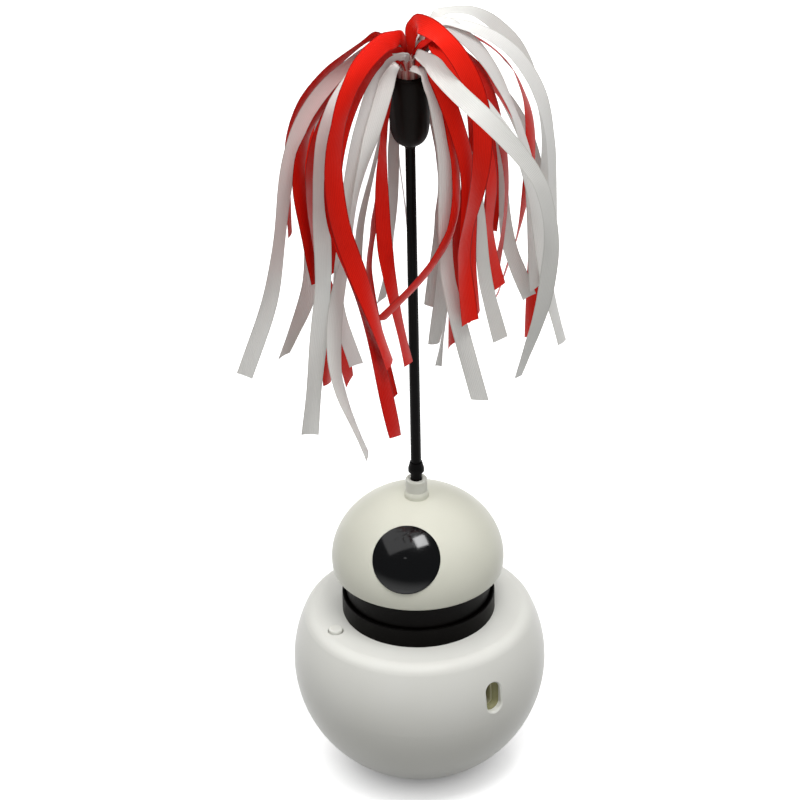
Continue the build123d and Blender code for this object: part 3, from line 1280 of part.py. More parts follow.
with BuildPart() as tassel_clasp:
    with BuildSketch(Plane.XZ) as clasp_profile:
        with BuildLine():
            Polyline(
                (rod_radius + press_gap, clasp_bottom),
                (clasp_foot_radius, clasp_bottom),
                (clasp_radius, clasp_bottom + clasp_shoulder),
                (clasp_radius, clasp_top - clasp_taper),
                (clasp_top_radius, clasp_top),
                (root_radius + press_gap, clasp_top),
                (root_radius + press_gap, rod_top),
                (rod_radius + press_gap, rod_top),
                close=True,
            )
        make_face()
        corners = clasp_profile.vertices().sort_by(Axis.X)
        shoulders = corners[-2:].sort_by(Axis.Y)
        fillet(shoulders[0], clasp_shoulder_round)
        fillet(clasp_profile.vertices().sort_by(Axis.X)[-1], clasp_taper_round)
        fillet(clasp_profile.vertices().group_by(Axis.Y)[-1].sort_by(Axis.X)[-1], clasp_edge_round)
    revolve(axis=Axis.Z)

with BuildPart() as ribbon_root:
    with BuildSketch(Plane.XZ):
        with BuildLine():
            Polyline((0, root_top), (0, rod_top), (root_radius, rod_top),
                     (root_radius, root_shoulder))
            CenterArc((0, root_shoulder), root_radius, 0, 90)
        make_face()
    revolve(axis=Axis.Z)


def ribbon(width_share, turns, ring, root_heading, places):
    """One strand, from the root over its crown and down to its tip, through its cross-sections.

    The strip is as wide as the ribbon, and narrower where the strands crowd at the root.
    """
    lean = root_leans[ring]
    upright, sideways = polar(root_radius + ribbon_clear, lean)
    middle = [Vector(*polar(sideways, root_heading), root_shoulder + upright)]
    for out_share, heading, fall_share in places:
        height = tassel_crown - fall_share * tassel_drop
        middle.append(Vector(*polar(out_share * tassel_reach, heading), height))
    level, rise = polar(1, tassel_front_lift)
    facing = Vector(*polar(level, tassel_front), rise)
    root_turn, middle_turn, tip_turn = turns
    last = len(middle) - 1
    across = None
    run = 0
    sections = []
    for step, here in enumerate(middle):
        before = middle[max(step - 1, 0)]
        along = (middle[min(step + 1, last)] - before).normalized()
        flat = along.cross(facing)
        if across:
            kept = (across - along * across.dot(along)).normalized()
            shown = flat.length
            flat = flat * (1 if flat.dot(kept) > 0 else -1) + kept * (1 - shown)
            flat = flat - along * flat.dot(along)
        across = flat.normalized()
        run += (here - before).length
        share = 2 * step / last
        turn = root_turn + (middle_turn - root_turn) * min(1, share)
        turn += (tip_turn - middle_turn) * max(0, share - 1)
        spread = ribbon_root_width + ribbon_widening_share * max(0, run - ribbon_gather)
        wide = across.rotate(Axis((0, 0, 0), along), -turn)
        place = Plane(origin=here, x_dir=wide, z_dir=along)
        sections.append((place, min(width_share * ribbon_width, spread)))
    with BuildPart() as strip:
        for place, breadth in reversed(sections):
            with BuildSketch(place):
                Rectangle(breadth, ribbon_thickness)
        loft(ruled=True)
    return strip.part


# Tassel: strands of both colours, parted by the wand
with BuildPart() as red_ribbons:
    add([ribbon(*shares) for shares in red_strand_shares])

with BuildPart() as white_ribbons:
    add([ribbon(*shares) for shares in white_strand_shares])

parts = {
    "base_shell": base_shell.part,
    "base_bowl": base_bowl.part,
    "foot_pad": foot_pad.part,
    "base_screws": base_screws,
    "ballast": ballast.part,
    "ballast_screws": ballast_screws,
    "battery_cell": battery_cell.part,
    "battery_cradle": battery_cradle.part,
    "circuit_board": circuit_board.part,
    "board_chips": board_chips.part,
    "charging_port": charging_port.part,
    "port_tongue": port_tongue.part,
    "switch_board": switch_board.part,
    "switch_screws": switch_screws,
    "tact_switch": tact_switch.part,
    "power_button": power_button.part,
    "switch_plunger": switch_plunger.part,
    "neck_collar": neck_collar.part,
    "spindle_bush": spindle_bush.part,
    "brush_block": brush_block.part,
    "brush_contacts": brush_contacts.part,
    "slip_rings": slip_rings.part,
    "output_gear": output_gear.part,
    "idler_gear": idler_gear.part,
    "idler_axle": idler_axle.part,
    "motor_pinion": motor_pinion.part,
    "motor_shaft": motor_shaft.part,
    "gear_plate": gear_plate.part,
    "plate_screws": plate_screws,
    "motor_screws": motor_screws,
    "drive_motor": drive_motor.part,
    "motor_endcap": motor_endcap.part,
    "motor_terminals": motor_terminals.part,
    "spindle": spindle.part,
    "spindle_clip": spindle_clip.part,
    "neck_drum": neck_drum.part,
    "head_screws": head_screws,
    "head_dome": head_dome.part,
    "eye_window": eye_window.part,
    "laser_barrel": laser_barrel.part,
    "laser_lens": laser_lens.part,
    "laser_board": laser_board.part,
    "laser_bracket": laser_bracket.part,
    "bracket_screws": bracket_screws,
    "wand_socket": wand_socket.part,
    "wand_ferrule": wand_ferrule.part,
    "wand_rod": wand_rod.part,
    "tassel_clasp": tassel_clasp.part,
    "ribbon_root": ribbon_root.part,
    "red_ribbons": red_ribbons.part,
    "white_ribbons": white_ribbons.part,
}

os.makedirs("parts", exist_ok=True)
for name, piece in parts.items():
    piece.label = name
    export_step(piece, f"parts/{name}.step")
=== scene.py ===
# %% [markdown]
# # Cat laser toy with a ribbon wand
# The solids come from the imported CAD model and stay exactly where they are. This lesson gives them
# their finishes, hangs a tassel of satin ribbon where the CAD has plain strips, and sets up a small
# photo table with a camera at the angle of the photograph.

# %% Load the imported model
import heapq
import math
import random
from collections import namedtuple

import bmesh
import bpy
from mathutils import Matrix, Quaternion, Vector


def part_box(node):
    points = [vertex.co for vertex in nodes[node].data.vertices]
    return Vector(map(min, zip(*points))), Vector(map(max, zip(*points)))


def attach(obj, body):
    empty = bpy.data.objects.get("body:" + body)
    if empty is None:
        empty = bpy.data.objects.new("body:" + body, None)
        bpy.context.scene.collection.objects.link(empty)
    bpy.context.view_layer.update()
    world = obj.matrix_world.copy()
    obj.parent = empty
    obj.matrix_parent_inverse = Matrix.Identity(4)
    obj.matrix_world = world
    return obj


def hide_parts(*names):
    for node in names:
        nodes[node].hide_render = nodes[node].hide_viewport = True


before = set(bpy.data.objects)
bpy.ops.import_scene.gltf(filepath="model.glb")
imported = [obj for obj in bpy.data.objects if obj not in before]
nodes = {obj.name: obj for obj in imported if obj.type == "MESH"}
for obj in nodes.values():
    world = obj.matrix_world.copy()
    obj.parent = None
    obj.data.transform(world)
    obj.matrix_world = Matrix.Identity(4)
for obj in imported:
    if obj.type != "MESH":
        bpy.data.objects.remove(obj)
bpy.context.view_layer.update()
scene = bpy.context.scene
print("CAD nodes:", len(nodes))

# %% [markdown]
# ## Camera
# The picture was taken with a long lens from above: the deck's rim and the collar show as ellipses
# whose shape gives an elevation of about 34 degrees. The long lens keeps verticals nearly parallel.
# The camera looks at a point above the ball, so that the ball sits low in the square frame, and it is
# rolled by a degree because the wand leans to the left in the picture.

# %% Camera
MM = 0.001
FRAME_PIXELS = 800
ball_middle = Vector((0, 0, 42)) * MM
view_azimuth = math.radians(54)
view_elevation = math.radians(34.5)
view_distance = 2.2
mm_per_pixel = 0.36
lens_roll = math.radians(-1.15)
ball_pixel = (420, 654)

towards_camera = Vector((
    math.sin(view_azimuth) * math.cos(view_elevation),
    -math.cos(view_azimuth) * math.cos(view_elevation),
    math.sin(view_elevation),
))


def camera_turn(direction):
    """Rotation of a camera that looks along the direction, with its roll."""
    level = direction.to_track_quat("-Z", "Y")
    return level @ Matrix.Rotation(lens_roll, 3, "Z").to_quaternion()


first_turn = camera_turn(-towards_camera)
half_frame = FRAME_PIXELS / 2
aim = (
    ball_middle
    + first_turn @ Vector((half_frame - ball_pixel[0], ball_pixel[1] - half_frame, 0)) * mm_per_pixel * MM
)
camera_place = ball_middle + towards_camera * view_distance

lens = bpy.data.cameras.new("photo_camera")
lens.sensor_width = 36
lens.lens = lens.sensor_width * view_distance / (mm_per_pixel * MM * FRAME_PIXELS)
lens.clip_end = 50
camera = bpy.data.objects.new("photo_camera", lens)
camera.location = camera_place
camera.rotation_mode = "QUATERNION"
camera.rotation_quaternion = camera_turn(aim - camera_place)
scene.collection.objects.link(camera)
scene.camera = camera
print("lens", round(lens.lens), "mm at", [round(x, 2) for x in camera_place])

# %% [markdown]
# ## Colours and nodes
# Colours are written as sRGB hex values, the way a colour picker shows them, but shaders reckon in linear
# light, so one function turns them over. Another adds any shader node with its settings and links. The
# Standard view transform shows the colours as they are.

# %% Colours and nodes
scene.view_settings.view_transform = "Standard"


def linear(hex_colour):
    """An sRGB hex colour as linear red, green, blue and alpha."""
    channels = [int(hex_colour[i:i + 2], 16) / 255 for i in (1, 3, 5)]
    return (*[c / 12.92 if c <= 0.04045 else ((c + 0.055) / 1.055) ** 2.4 for c in channels], 1)


def add(tree, kind, sockets=None, links=None, **settings):
    """One shader node with its settings, its socket values and the links into it."""
    made = tree.nodes.new(kind)
    for name, value in settings.items():
        setattr(made, name, value)
    for name, value in (sockets or {}).items():
        made.inputs[name].default_value = value
    for name, source in (links or {}).items():
        tree.links.new(source, made.inputs[name])
    return made


print("middle grey #808080 is", round(linear("#808080")[0], 3), "in linear light")

# %% [markdown]
# ## The room
# Part of the light in the picture is soft light from the room, brighter overhead than at the horizon: a sky
# with a slow ramp. To the camera and in reflections the sky is a white backdrop under a dim ceiling, which
# lights nothing, so the white costs no light on the object.

# %% The room
HORIZON_LIGHT, OVERHEAD_LIGHT = 0.05, 0.90
# Heights of a direction, 0 at the horizon and 1 overhead: the backdrop fades to the ceiling between these.
BACKDROP_END, CEILING_START = 0.02, 0.22
BACKDROP_WHITE, CEILING_GREY = 1.0, 0.12


def seen_rays(tree):
    """1 for rays from the camera or off and through shiny things, 0 for rays that carry light."""
    path = add(tree, "ShaderNodeLightPath").outputs
    mirror = add(tree, "ShaderNodeMath", links={0: path["Is Camera Ray"], 1: path["Is Glossy Ray"]},
                 operation="MAXIMUM").outputs[0]
    return add(tree, "ShaderNodeMath", links={0: mirror, 1: path["Is Transmission Ray"]},
               operation="MAXIMUM").outputs[0]


sky = bpy.data.worlds.new("studio")
sky.use_nodes = True
tree = sky.node_tree
tree.nodes.clear()
heading = add(tree, "ShaderNodeTexCoord").outputs["Generated"]
height = add(tree, "ShaderNodeSeparateXYZ", links={0: heading}).outputs["Z"]
ramp = add(tree, "ShaderNodeMapRange", {"To Min": HORIZON_LIGHT, "To Max": OVERHEAD_LIGHT}, {"Value": height})
room = add(tree, "ShaderNodeBackground", {"Color": linear("#FFFFFF")}, {"Strength": ramp.outputs[0]})
fade = add(tree, "ShaderNodeMapRange", {"From Min": BACKDROP_END, "From Max": CEILING_START,
                                        "To Min": BACKDROP_WHITE, "To Max": CEILING_GREY}, {"Value": height})
backdrop = add(tree, "ShaderNodeBackground", {"Color": linear("#FFFFFF")}, {"Strength": fade.outputs[0]})
seen = add(tree, "ShaderNodeMixShader",
           links={0: seen_rays(tree), 1: room.outputs[0], 2: backdrop.outputs[0]})
add(tree, "ShaderNodeOutputWorld", links={"Surface": seen.outputs[0]})
scene.world = sky
print("room light from", HORIZON_LIGHT, "at the horizon to", OVERHEAD_LIGHT, "overhead")

# %% [markdown]
# ## Lamps
# In the picture one lamp hangs over the toy, a little to the front and right: it is what the dark window
# mirrors at its upper right. A broad, dim one nearly straight above keeps the deck bright beside the head,
# while the lower half of the ball falls to grey. A weak one beside the camera lifts the front without a
# mirror image of its own, and a small one behind puts a faint spot on the dome.

# %% Lamps
view_side = Vector((math.cos(view_azimuth), math.sin(view_azimuth), 0))
view_near = Vector((math.sin(view_azimuth), -math.cos(view_azimuth), 0))
LAMP_AIM = Vector((0, 0, 0.08))


def softbox(name, side, near, up, width, power):
    """A square lamp that looks at the head, placed to the picture's right, towards the camera and up."""
    place = view_side * side + view_near * near + Vector((0, 0, up))
    lamp = bpy.data.lights.new(name, "AREA")
    lamp.shape = "SQUARE"
    lamp.size = width
    lamp.energy = power
    made = bpy.data.objects.new(name, lamp)
    made.location = place
    made.rotation_mode = "QUATERNION"
    made.rotation_quaternion = (LAMP_AIM - place).to_track_quat("-Z", "Y")
    scene.collection.objects.link(made)
    print(name, power, "W,", width, "m wide")
    return made


softbox("front_lamp", side=0.18, near=0.38, up=1.36, width=0.40, power=6.4)
softbox("top_lamp", side=-0.42, near=0.02, up=1.40, width=1.4, power=7.0)
fill_lamp = softbox("fill_lamp", side=0.10, near=1.50, up=0.75, width=1.3, power=3.4)
fill_lamp.visible_glossy = False
softbox("back_lamp", side=0.37, near=-0.88, up=1.24, width=0.15, power=1.2)

# %% [markdown]
# ## The table
# A sheet of white paper. What the camera and the reflections see of it is white paper with its soft shadow,
# lifted to full white by a painted glow that is no lamp and is dimmed under the foot: a painted contact
# shadow.
# So the shadow stays close to the toy, as in the picture. The light that the sheet throws back onto the toy
# is that of a greyer one, because in the picture the paper is small and the room round it is dim.

# %% The table
TABLE_REACH = 4
# The painted glow grows over this distance from the middle of the foot, between these strengths: a painted
# shadow.
GLOW_START, GLOW_END = 16 * MM, 36 * MM
FOOT_GLOW, SHEET_GLOW = 0.08, 0.62
table_mesh = bpy.data.meshes.new("table")
square = ((-1, -1), (1, -1), (1, 1), (-1, 1))
table_mesh.from_pydata([(x * TABLE_REACH, y * TABLE_REACH, 0) for x, y in square], [], [(0, 1, 2, 3)])
table = bpy.data.objects.new("table", table_mesh)
scene.collection.objects.link(table)
table_paper = bpy.data.materials.new("paper_matt_white")
table_paper.use_nodes = True
tree = table_paper.node_tree
tree.nodes.clear()
grey_paper = add(tree, "ShaderNodeBsdfDiffuse", {"Color": linear("#7C7C7A")})
white_paper = add(tree, "ShaderNodeBsdfDiffuse", {"Color": linear("#E2E2E2")})
from_foot = add(tree, "ShaderNodeVectorMath", links={0: add(tree, "ShaderNodeTexCoord").outputs["Object"]},
                operation="LENGTH").outputs["Value"]
# Painted shadow: the paper's glow is dimmed near the foot, so the paper looks darker there.
painted_shadow_ramp = add(tree, "ShaderNodeMapRange",
                     {"From Min": GLOW_START, "From Max": GLOW_END,
                      "To Min": FOOT_GLOW, "To Max": SHEET_GLOW}, {"Value": from_foot})
glow = add(tree, "ShaderNodeEmission", {"Color": linear("#FFFFFF")}, {"Strength": painted_shadow_ramp.outputs[0]})
bright_paper = add(tree, "ShaderNodeAddShader", links={0: white_paper.outputs[0], 1: glow.outputs[0]})
sheet = add(tree, "ShaderNodeMixShader",
            links={0: seen_rays(tree), 1: grey_paper.outputs[0], 2: bright_paper.outputs[0]})
add(tree, "ShaderNodeOutputMaterial", links={"Surface": sheet.outputs[0]})
table_mesh.materials.append(table_paper)
print("table", 2 * TABLE_REACH, "m wide")

# %% [markdown]
# ## A start for every finish
# Real surfaces are never quite even, and that is what the eye knows a material by. So each finish is a
# Principled shader with its own constants, and up to three patterns: one moves the colour, one the roughness
# and one the height of the surface. A pattern is a noise whose blobs have a real size in millimetres. The
# pieces carry their place in their vertices, in metres, so object coordinates are real sizes too: grains of
# 2 mm have a scale of 1 / 0.002. Stretched grains stand for lines that drawing, grinding or turning leaves.

# %% A start for every finish
Grain = namedtuple("Grain", "size detail stretch", defaults=(2, (1, 1, 1)))


def finish(name, colour, roughness, mottle=None, gloss=None, relief=None, **sockets):
    """A new material. Each pattern is a Grain with its two colours, its two roughnesses or its height in mm.

    Further sockets of the shader are named with _ for a space."""
    material = bpy.data.materials.new(name)
    material.use_nodes = True
    tree = material.node_tree
    tree.nodes.clear()
    shader = add(tree, "ShaderNodeBsdfPrincipled", {"Base Color": linear(colour), "Roughness": roughness})
    for socket, value in sockets.items():
        shader.inputs[socket.replace("_", " ")].default_value = value
    add(tree, "ShaderNodeOutputMaterial", links={"Surface": shader.outputs[0]})
    place = add(tree, "ShaderNodeTexCoord").outputs["Object"]
    for socket, pattern in (("Base Color", mottle), ("Roughness", gloss), ("Normal", relief)):
        if pattern is None:
            continue
        grain, *ends = pattern
        spread = add(tree, "ShaderNodeMapping", {"Scale": [1 / s for s in grain.stretch]}, {"Vector": place})
        noise = add(tree, "ShaderNodeTexNoise", {"Scale": 1 / (grain.size * MM), "Detail": grain.detail},
                    {"Vector": spread.outputs[0]}).outputs[0]
        if socket == "Base Color":
            moved = add(tree, "ShaderNodeMix", {6: linear(ends[0]), 7: linear(ends[1])}, {0: noise},
                        data_type="RGBA").outputs[2]
        elif socket == "Roughness":
            moved = add(tree, "ShaderNodeMapRange", {"To Min": ends[0], "To Max": ends[1]},
                        {"Value": noise}).outputs[0]
        else:
            moved = add(tree, "ShaderNodeBump", {"Strength": 1, "Distance": ends[0] * MM},
                        {"Height": noise}).outputs[0]
        tree.links.new(moved, shader.inputs[socket])
    return material


def wear(material, *names):
    """Give a finish to CAD nodes."""
    for name in names:
        mesh = nodes[name].data
        mesh.materials.clear()
        mesh.materials.append(material)


print("finishes start from a Principled shader with up to three grains")

# %% [markdown]
# ## White moulded shells
# The ball and the dome are injection-moulded ABS from a polished mould, the dome a shade more ivory. The
# eye gets a white with clear soft reflections that waver a little, because the wall shrinks unevenly
# while it cools. A broad, faint mottle of the colour and a 2 mm ripple of the surface give that. One
# function makes both shades. The button is the same plastic with a slightly dulled face.

# %% White moulded shells
def polished_abs(name, colour, dark, light):
    """Glossy moulded plastic: faint mottle, uneven gloss and a slow ripple from shrinkage."""
    return finish(name, colour, 0.3, mottle=(Grain(26), dark, light), gloss=(Grain(9, 4), 0.28, 0.34),
                  relief=(Grain(2.2), 0.012), IOR=1.54, Specular_IOR_Level=0.14)


abs_white = polished_abs("abs_moulded_polished_white", "#E4E4DE", "#E1E1DA", "#E8E8E3")
wear(abs_white, "base_shell", "base_bowl")
abs_ivory = polished_abs("abs_moulded_polished_ivory", "#DCDCCE", "#D9D9CA", "#E0E0D3")
wear(abs_ivory, "head_dome")

# Spark-eroded texture is about 0.05 mm; it is drawn at 0.4 mm so that it shows.
abs_satin = finish("abs_moulded_satin_white", "#E8E8E0", 0.36, mottle=(Grain(3), "#E5E5DC", "#EBEBE5"),
                   relief=(Grain(0.4, 4), 0.01), IOR=1.54)
wear(abs_satin, "power_button")
print("white mouldings:", abs_white.name, abs_ivory.name, abs_satin.name)

# %% [markdown]
# ## Black collar and neck
# These are ABS too, but from a mould with a fine spark-eroded texture: a deep brownish black whose
# reflections are broad and soft. A grain drawn at 0.5 mm breaks the highlight on the ledge.

# %% Black collar and neck
# The spark marks are about 0.05 mm; at 0.5 mm they can be seen.
abs_black = finish("abs_moulded_textured_black", "#080706", 0.4, mottle=(Grain(7, 3), "#060504", "#0A0807"),
                   gloss=(Grain(4, 4), 0.34, 0.48), relief=(Grain(0.5, 3), 0.008), IOR=1.54,
                   Specular_IOR_Level=0.05)
wear(abs_black, "neck_collar", "neck_drum")
print("black mouldings:", abs_black.name)

# %% [markdown]
# ## Round window
# The laser shines through a domed window of smoked acrylic. From outside it is a polished black with a
# touch of blue and a small hard highlight. Wiping leaves hair-fine marks, which show as a slightly
# uneven gloss.

# %% Round window
acrylic = finish("acrylic_cast_smoked", "#08090A", 0.10, mottle=(Grain(14), "#060708", "#0B0C0E"),
                 gloss=(Grain(5, 5), 0.06, 0.16), IOR=1.49)
wear(acrylic, "eye_window")
print("window:", acrylic.name)

# %% [markdown]
# ## Socket for the wand
# The short tube on the crown is natural polypropylene, which is milky: light goes in and comes out
# blurred. Part transmission with a rough surface gives that without a slow volume.

# %% Socket for the wand
milky = finish("polypropylene_moulded_natural", "#EAEADF", 0.34, mottle=(Grain(4), "#E4E4D8", "#F0F0E8"),
               gloss=(Grain(1.5, 3), 0.29, 0.40), IOR=1.49, Transmission_Weight=0.2)
wear(milky, "wand_socket")
print("socket:", milky.name)

# %% [markdown]
# ## Wand
# The rod is a pultruded glass-fibre rod with a black skin: the fibres leave fine lines along it, and it is
# nearly dull. The plug at its foot is moulded in the same black.

# %% Wand
# Fibre lines are about 0.02 mm; they are drawn 0.3 mm wide and 20 times as long.
fibre_lines = Grain(0.3, 3, (1, 1, 20))
fibre_rod = finish("glass_fibre_rod_black", "#080707", 0.4, mottle=(fibre_lines, "#060505", "#0A0909"),
                   gloss=(Grain(6), 0.34, 0.48), relief=(fibre_lines, 0.01), IOR=1.52,
                   Specular_IOR_Level=0.05)
wear(fibre_rod, "wand_rod", "wand_ferrule")
print("wand:", fibre_rod.name)

# %% [markdown]
# ## From rings to a piece
# Three pieces are made as skins over rings of points: the clasp's sleeve, the lining of the charging slot and
# the tuft of ribbon ends. Mesh code gives each ring its own outline, which a turned primitive couldn't have.
# One function joins the rings with smooth faces, and another makes the mesh a piece of the scene.

# %% From rings to a piece
def skin(mesh, rings):
    """Smooth faces between closed rings of points; gives them ring by ring."""
    quads = []
    for first, second in zip(rings, rings[1:]):
        for i in range(len(first)):
            j = (i + 1) % len(first)
            quad = mesh.faces.new((first[i], first[j], second[j], second[i]))
            quad.smooth = True
            quads.append(quad)
    return quads


def set_up(name, mesh, material):
    """The mesh as a piece of the scene, with its finish."""
    data = bpy.data.meshes.new(name)
    mesh.to_mesh(data)
    mesh.free()
    data.materials.append(material)
    piece = bpy.data.objects.new(name, data)
    scene.collection.objects.link(piece)
    return piece


print("rings become pieces by skin and set_up")

# %% [markdown]
# ## Clasp
# The clasp is a soft PVC sleeve shrunk over the rod and the ribbon ends: a capsule with a full shoulder, a
# round belly at the bottom and a thin neck on the rod. The CAD solid has its length and width. The drawn
# sleeve stands for it, because a shrunk sleeve isn't a clean turned form: it is turned from a profile in
# many small steps, and its radius then follows shallow lengthwise flats from the bunch inside.

# %% Clasp
clasp_low, clasp_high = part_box("tassel_clasp")
clasp_foot, clasp_top = clasp_low[2] / MM, clasp_high[2] / MM
# Radius and height over the foot, in millimetres, from the neck on the rod up to the lip
sleeve_profile = ((1.95, 0.6), (2.0, 1.5), (2.7, 1.9), (4.0, 2.5), (5.2, 3.6), (6.2, 5.4), (6.8, 7.9),
                  (7.05, 11.0), (7.15, 15.0), (7.2, 20.0), (7.2, 24.0), (7.1, 26.8), (6.8, 28.6), (6.2, 29.6),
                  (5.2, 29.8), (4.6, 28.0))
AROUND_SLEEVE = 64
# The flats start past the bunch's radius, deepen over the next 4 mm and turn by a radian in 12 mm of height.
BUNCH_RADIUS = 4.5
FLATS_DEEPEN = 4
FLATS_TURN = 12
# So many flats go round, each set as deep as chance picks, in millimetres, and with its own start in radians.
FLAT_COUNTS = (3, 5, 7, 11)
FLAT_DEPTHS = (0.05, 0.12)
STARTS = (0, 6)
flats = random.Random(11)
flat_turns = [(count, flats.uniform(*STARTS), flats.uniform(*FLAT_DEPTHS)) for count in FLAT_COUNTS]
sleeve = bmesh.new()
rings = []
for radius, rise in sleeve_profile:
    ring = []
    for i in range(AROUND_SLEEVE):
        angle = 2 * math.pi * i / AROUND_SLEEVE
        dent = sum(depth * math.sin(count * angle + start + rise / FLATS_TURN)
                   for count, start, depth in flat_turns)
        reach_out = radius - max(0, radius - BUNCH_RADIUS) / FLATS_DEEPEN * abs(dent)
        spot = Vector((math.cos(angle) * reach_out, math.sin(angle) * reach_out, clasp_foot + rise)) * MM
        ring.append(sleeve.verts.new(spot))
    rings.append(ring)
skin(sleeve, rings)

pvc_sleeve = finish("pvc_shrunk_sleeve_black", "#0F0B09", 0.45, mottle=(Grain(5, 3), "#0C0908", "#130E0B"),
                    gloss=(Grain(3, 3), 0.38, 0.52), relief=(Grain(4.5, 1, (1, 1, 5)), 0.2), IOR=1.53,
                    Specular_IOR_Level=0.06)
wear(pvc_sleeve, "tassel_clasp")
clasp = set_up("clasp_sleeve", sleeve, pvc_sleeve)
rounding = clasp.modifiers.new("rounding", "SUBSURF")
rounding.levels = rounding.render_levels = 1
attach(clasp, "wand")
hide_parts("tassel_clasp")
print("clasp:", pvc_sleeve.name, len(clasp.data.polygons), "faces")

# %% [markdown]
# ## Foot and ballast
# The foot is a die-cut rubber disc: matt, dark grey, with a dusting that lies in patches. The ballast is
# grey cast iron as it leaves the sand, rough and nearly matt.

# %% Foot and ballast
rubber = finish("rubber_die_cut_grey", "#3A3937", 0.8, mottle=(Grain(6, 4), "#343331", "#474541"),
                relief=(Grain(0.8, 4), 0.03), IOR=1.52)
wear(rubber, "foot_pad")

# Sand grit is about 0.3 mm; it is drawn at 0.6 mm.
cast_iron = finish("cast_iron_sand_skin", "#5C5A58", 0.6, mottle=(Grain(3, 5), "#4A4846", "#6E6A66"),
                   gloss=(Grain(2, 3), 0.48, 0.72), relief=(Grain(0.6, 3), 0.08), Metallic=0.9)
wear(cast_iron, "ballast")
print("foot and ballast:", rubber.name, cast_iron.name)

# %% [markdown]
# ## Steel pieces
# Screws are zinc plated, shafts are ground, the motor can is drawn and nickel plated, and the port's
# shell is stamped. All are bright metals that differ in the lines their making leaves: none, round the
# axis, or along the pull. Metals keep the default IOR and get their look from colour and roughness.

# %% Steel pieces
zinc = finish("steel_zinc_plated", "#C4C6C8", 0.3, mottle=(Grain(1.2, 3), "#B9BCC0", "#D0D1D0"),
              gloss=(Grain(0.8, 3), 0.22, 0.40), Metallic=1)
wear(zinc, "base_screws", "ballast_screws", "switch_screws", "plate_screws", "motor_screws", "head_screws",
     "bracket_screws")

# Grinding lines of 0.02 mm are drawn at 0.25 mm, across the axis.
grinding_lines = Grain(0.25, 2, (20, 20, 1))
ground_steel = finish("steel_ground_bright", "#CFCFCE", 0.2, mottle=(grinding_lines, "#C2C2C2", "#DADAD8"),
                      gloss=(grinding_lines, 0.14, 0.28), Metallic=1)
wear(ground_steel, "spindle", "spindle_clip", "idler_axle", "motor_shaft")

# Drawing lines of about 0.1 mm are drawn at 0.5 mm, along the pull.
drawing_lines = Grain(0.5, 3, (1, 1, 15))
drawn_can = finish("steel_drawn_nickel_plated", "#BDB9B1", 0.26, mottle=(drawing_lines, "#B2AEA6", "#C8C4BC"),
                   gloss=(drawing_lines, 0.2, 0.36), Metallic=1)
wear(drawn_can, "drive_motor")

stamped = finish("steel_stamped_tin_plated", "#D6D3B6", 0.55, mottle=(Grain(1.5, 3), "#CDCAAC", "#DFDCC0"),
                 gloss=(Grain(0.7, 3), 0.42, 0.58), Metallic=0.35)
wear(stamped, "charging_port")
print("steels:", zinc.name, ground_steel.name, drawn_can.name, stamped.name)

# %% [markdown]
# ## Brass pieces and the laser
# The contacts and the pinion are turned or stamped brass, which dulls unevenly to brown. The laser's
# barrel is turned, so its lines run round, and its lens is plain glass with a faint coating.

# %% Brass pieces and the laser
brass = finish("brass_stamped_dulled", "#C9A45A", 0.32, mottle=(Grain(2.5, 4), "#B08B48", "#D4B26C"),
               gloss=(Grain(1.5, 3), 0.24, 0.42), Metallic=1)
wear(brass, "spindle_bush", "brush_contacts", "slip_rings", "motor_terminals", "motor_pinion")

# Tool marks are about 0.05 mm apart; here 0.3 mm.
tool_marks = Grain(0.3, 2, (6, 6, 1))
turned_brass = finish("brass_turned_bright", "#D2AE62", 0.24, mottle=(tool_marks, "#C39E55", "#DDBC76"),
                      gloss=(tool_marks, 0.18, 0.32), Metallic=1)
wear(turned_brass, "laser_barrel")

glass = finish("glass_pressed_coated", "#EAF0F2", 0.02, mottle=(Grain(3), "#E2EAEF", "#F1F5F4"), IOR=1.52,
               Transmission_Weight=0.95)
wear(glass, "laser_lens")
print("laser:", turned_brass.name, glass.name)

# %% [markdown]
# ## Slot lining
# Behind the slot in the ball sits a soft lining, a sheet of painted shade: its olive-grey stands for the
# inside of the slot in shadow. It is a short funnel with the slot's rounded outline at its mouth and the
# port's at its back.
# Rings of that outline, smaller towards the back, make it, so that the wall is one smooth skin.

# %% Slot lining
port_low, port_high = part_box("charging_port")
port_middle = (port_low[2] + port_high[2]) / 2
# Distance in front of the port's mouth, width and height of the rounded outline, in millimetres
lining_rings = ((2.2, 6.14, 11.44), (1.4, 5.9, 11.2), (0.8, 4.8, 10.3), (0.3, 3.7, 9.4), (-0.1, 3.45, 9.15),
                (-0.8, 3.36, 9.06))
HALF_ROUND = 14
lining = bmesh.new()
rings = []
for forward, width, tall in lining_rings:
    radius = width / 2
    ring = []
    for end, start in ((1, 0), (-1, math.pi)):
        for i in range(HALF_ROUND + 1):
            angle = start + math.pi * i / HALF_ROUND
            side, up = radius * math.cos(angle), end * (tall / 2 - radius) + radius * math.sin(angle)
            ring.append(lining.verts.new((port_high[0] + forward * MM, side * MM, port_middle + up * MM)))
    rings.append(ring)
skin(lining, rings)

# A bloom of fine dust lies in 2 mm patches and dulls the surface unevenly.
# The olive-grey colour is painted shade: it stands for the inside of the slot in shadow.
lining_painted_shade = finish("silicone_moulded_olive_painted_shade", "#94926C", 0.6, mottle=(Grain(2, 4), "#898762", "#A09E78"),
                  gloss=(Grain(1.2, 3), 0.5, 0.72), relief=(Grain(0.5, 3), 0.01), IOR=1.41)
slot_lining = set_up("slot_lining", lining, lining_painted_shade)
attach(slot_lining, "base")
print("slot lining:", lining_painted_shade.name, len(slot_lining.data.polygons), "faces")

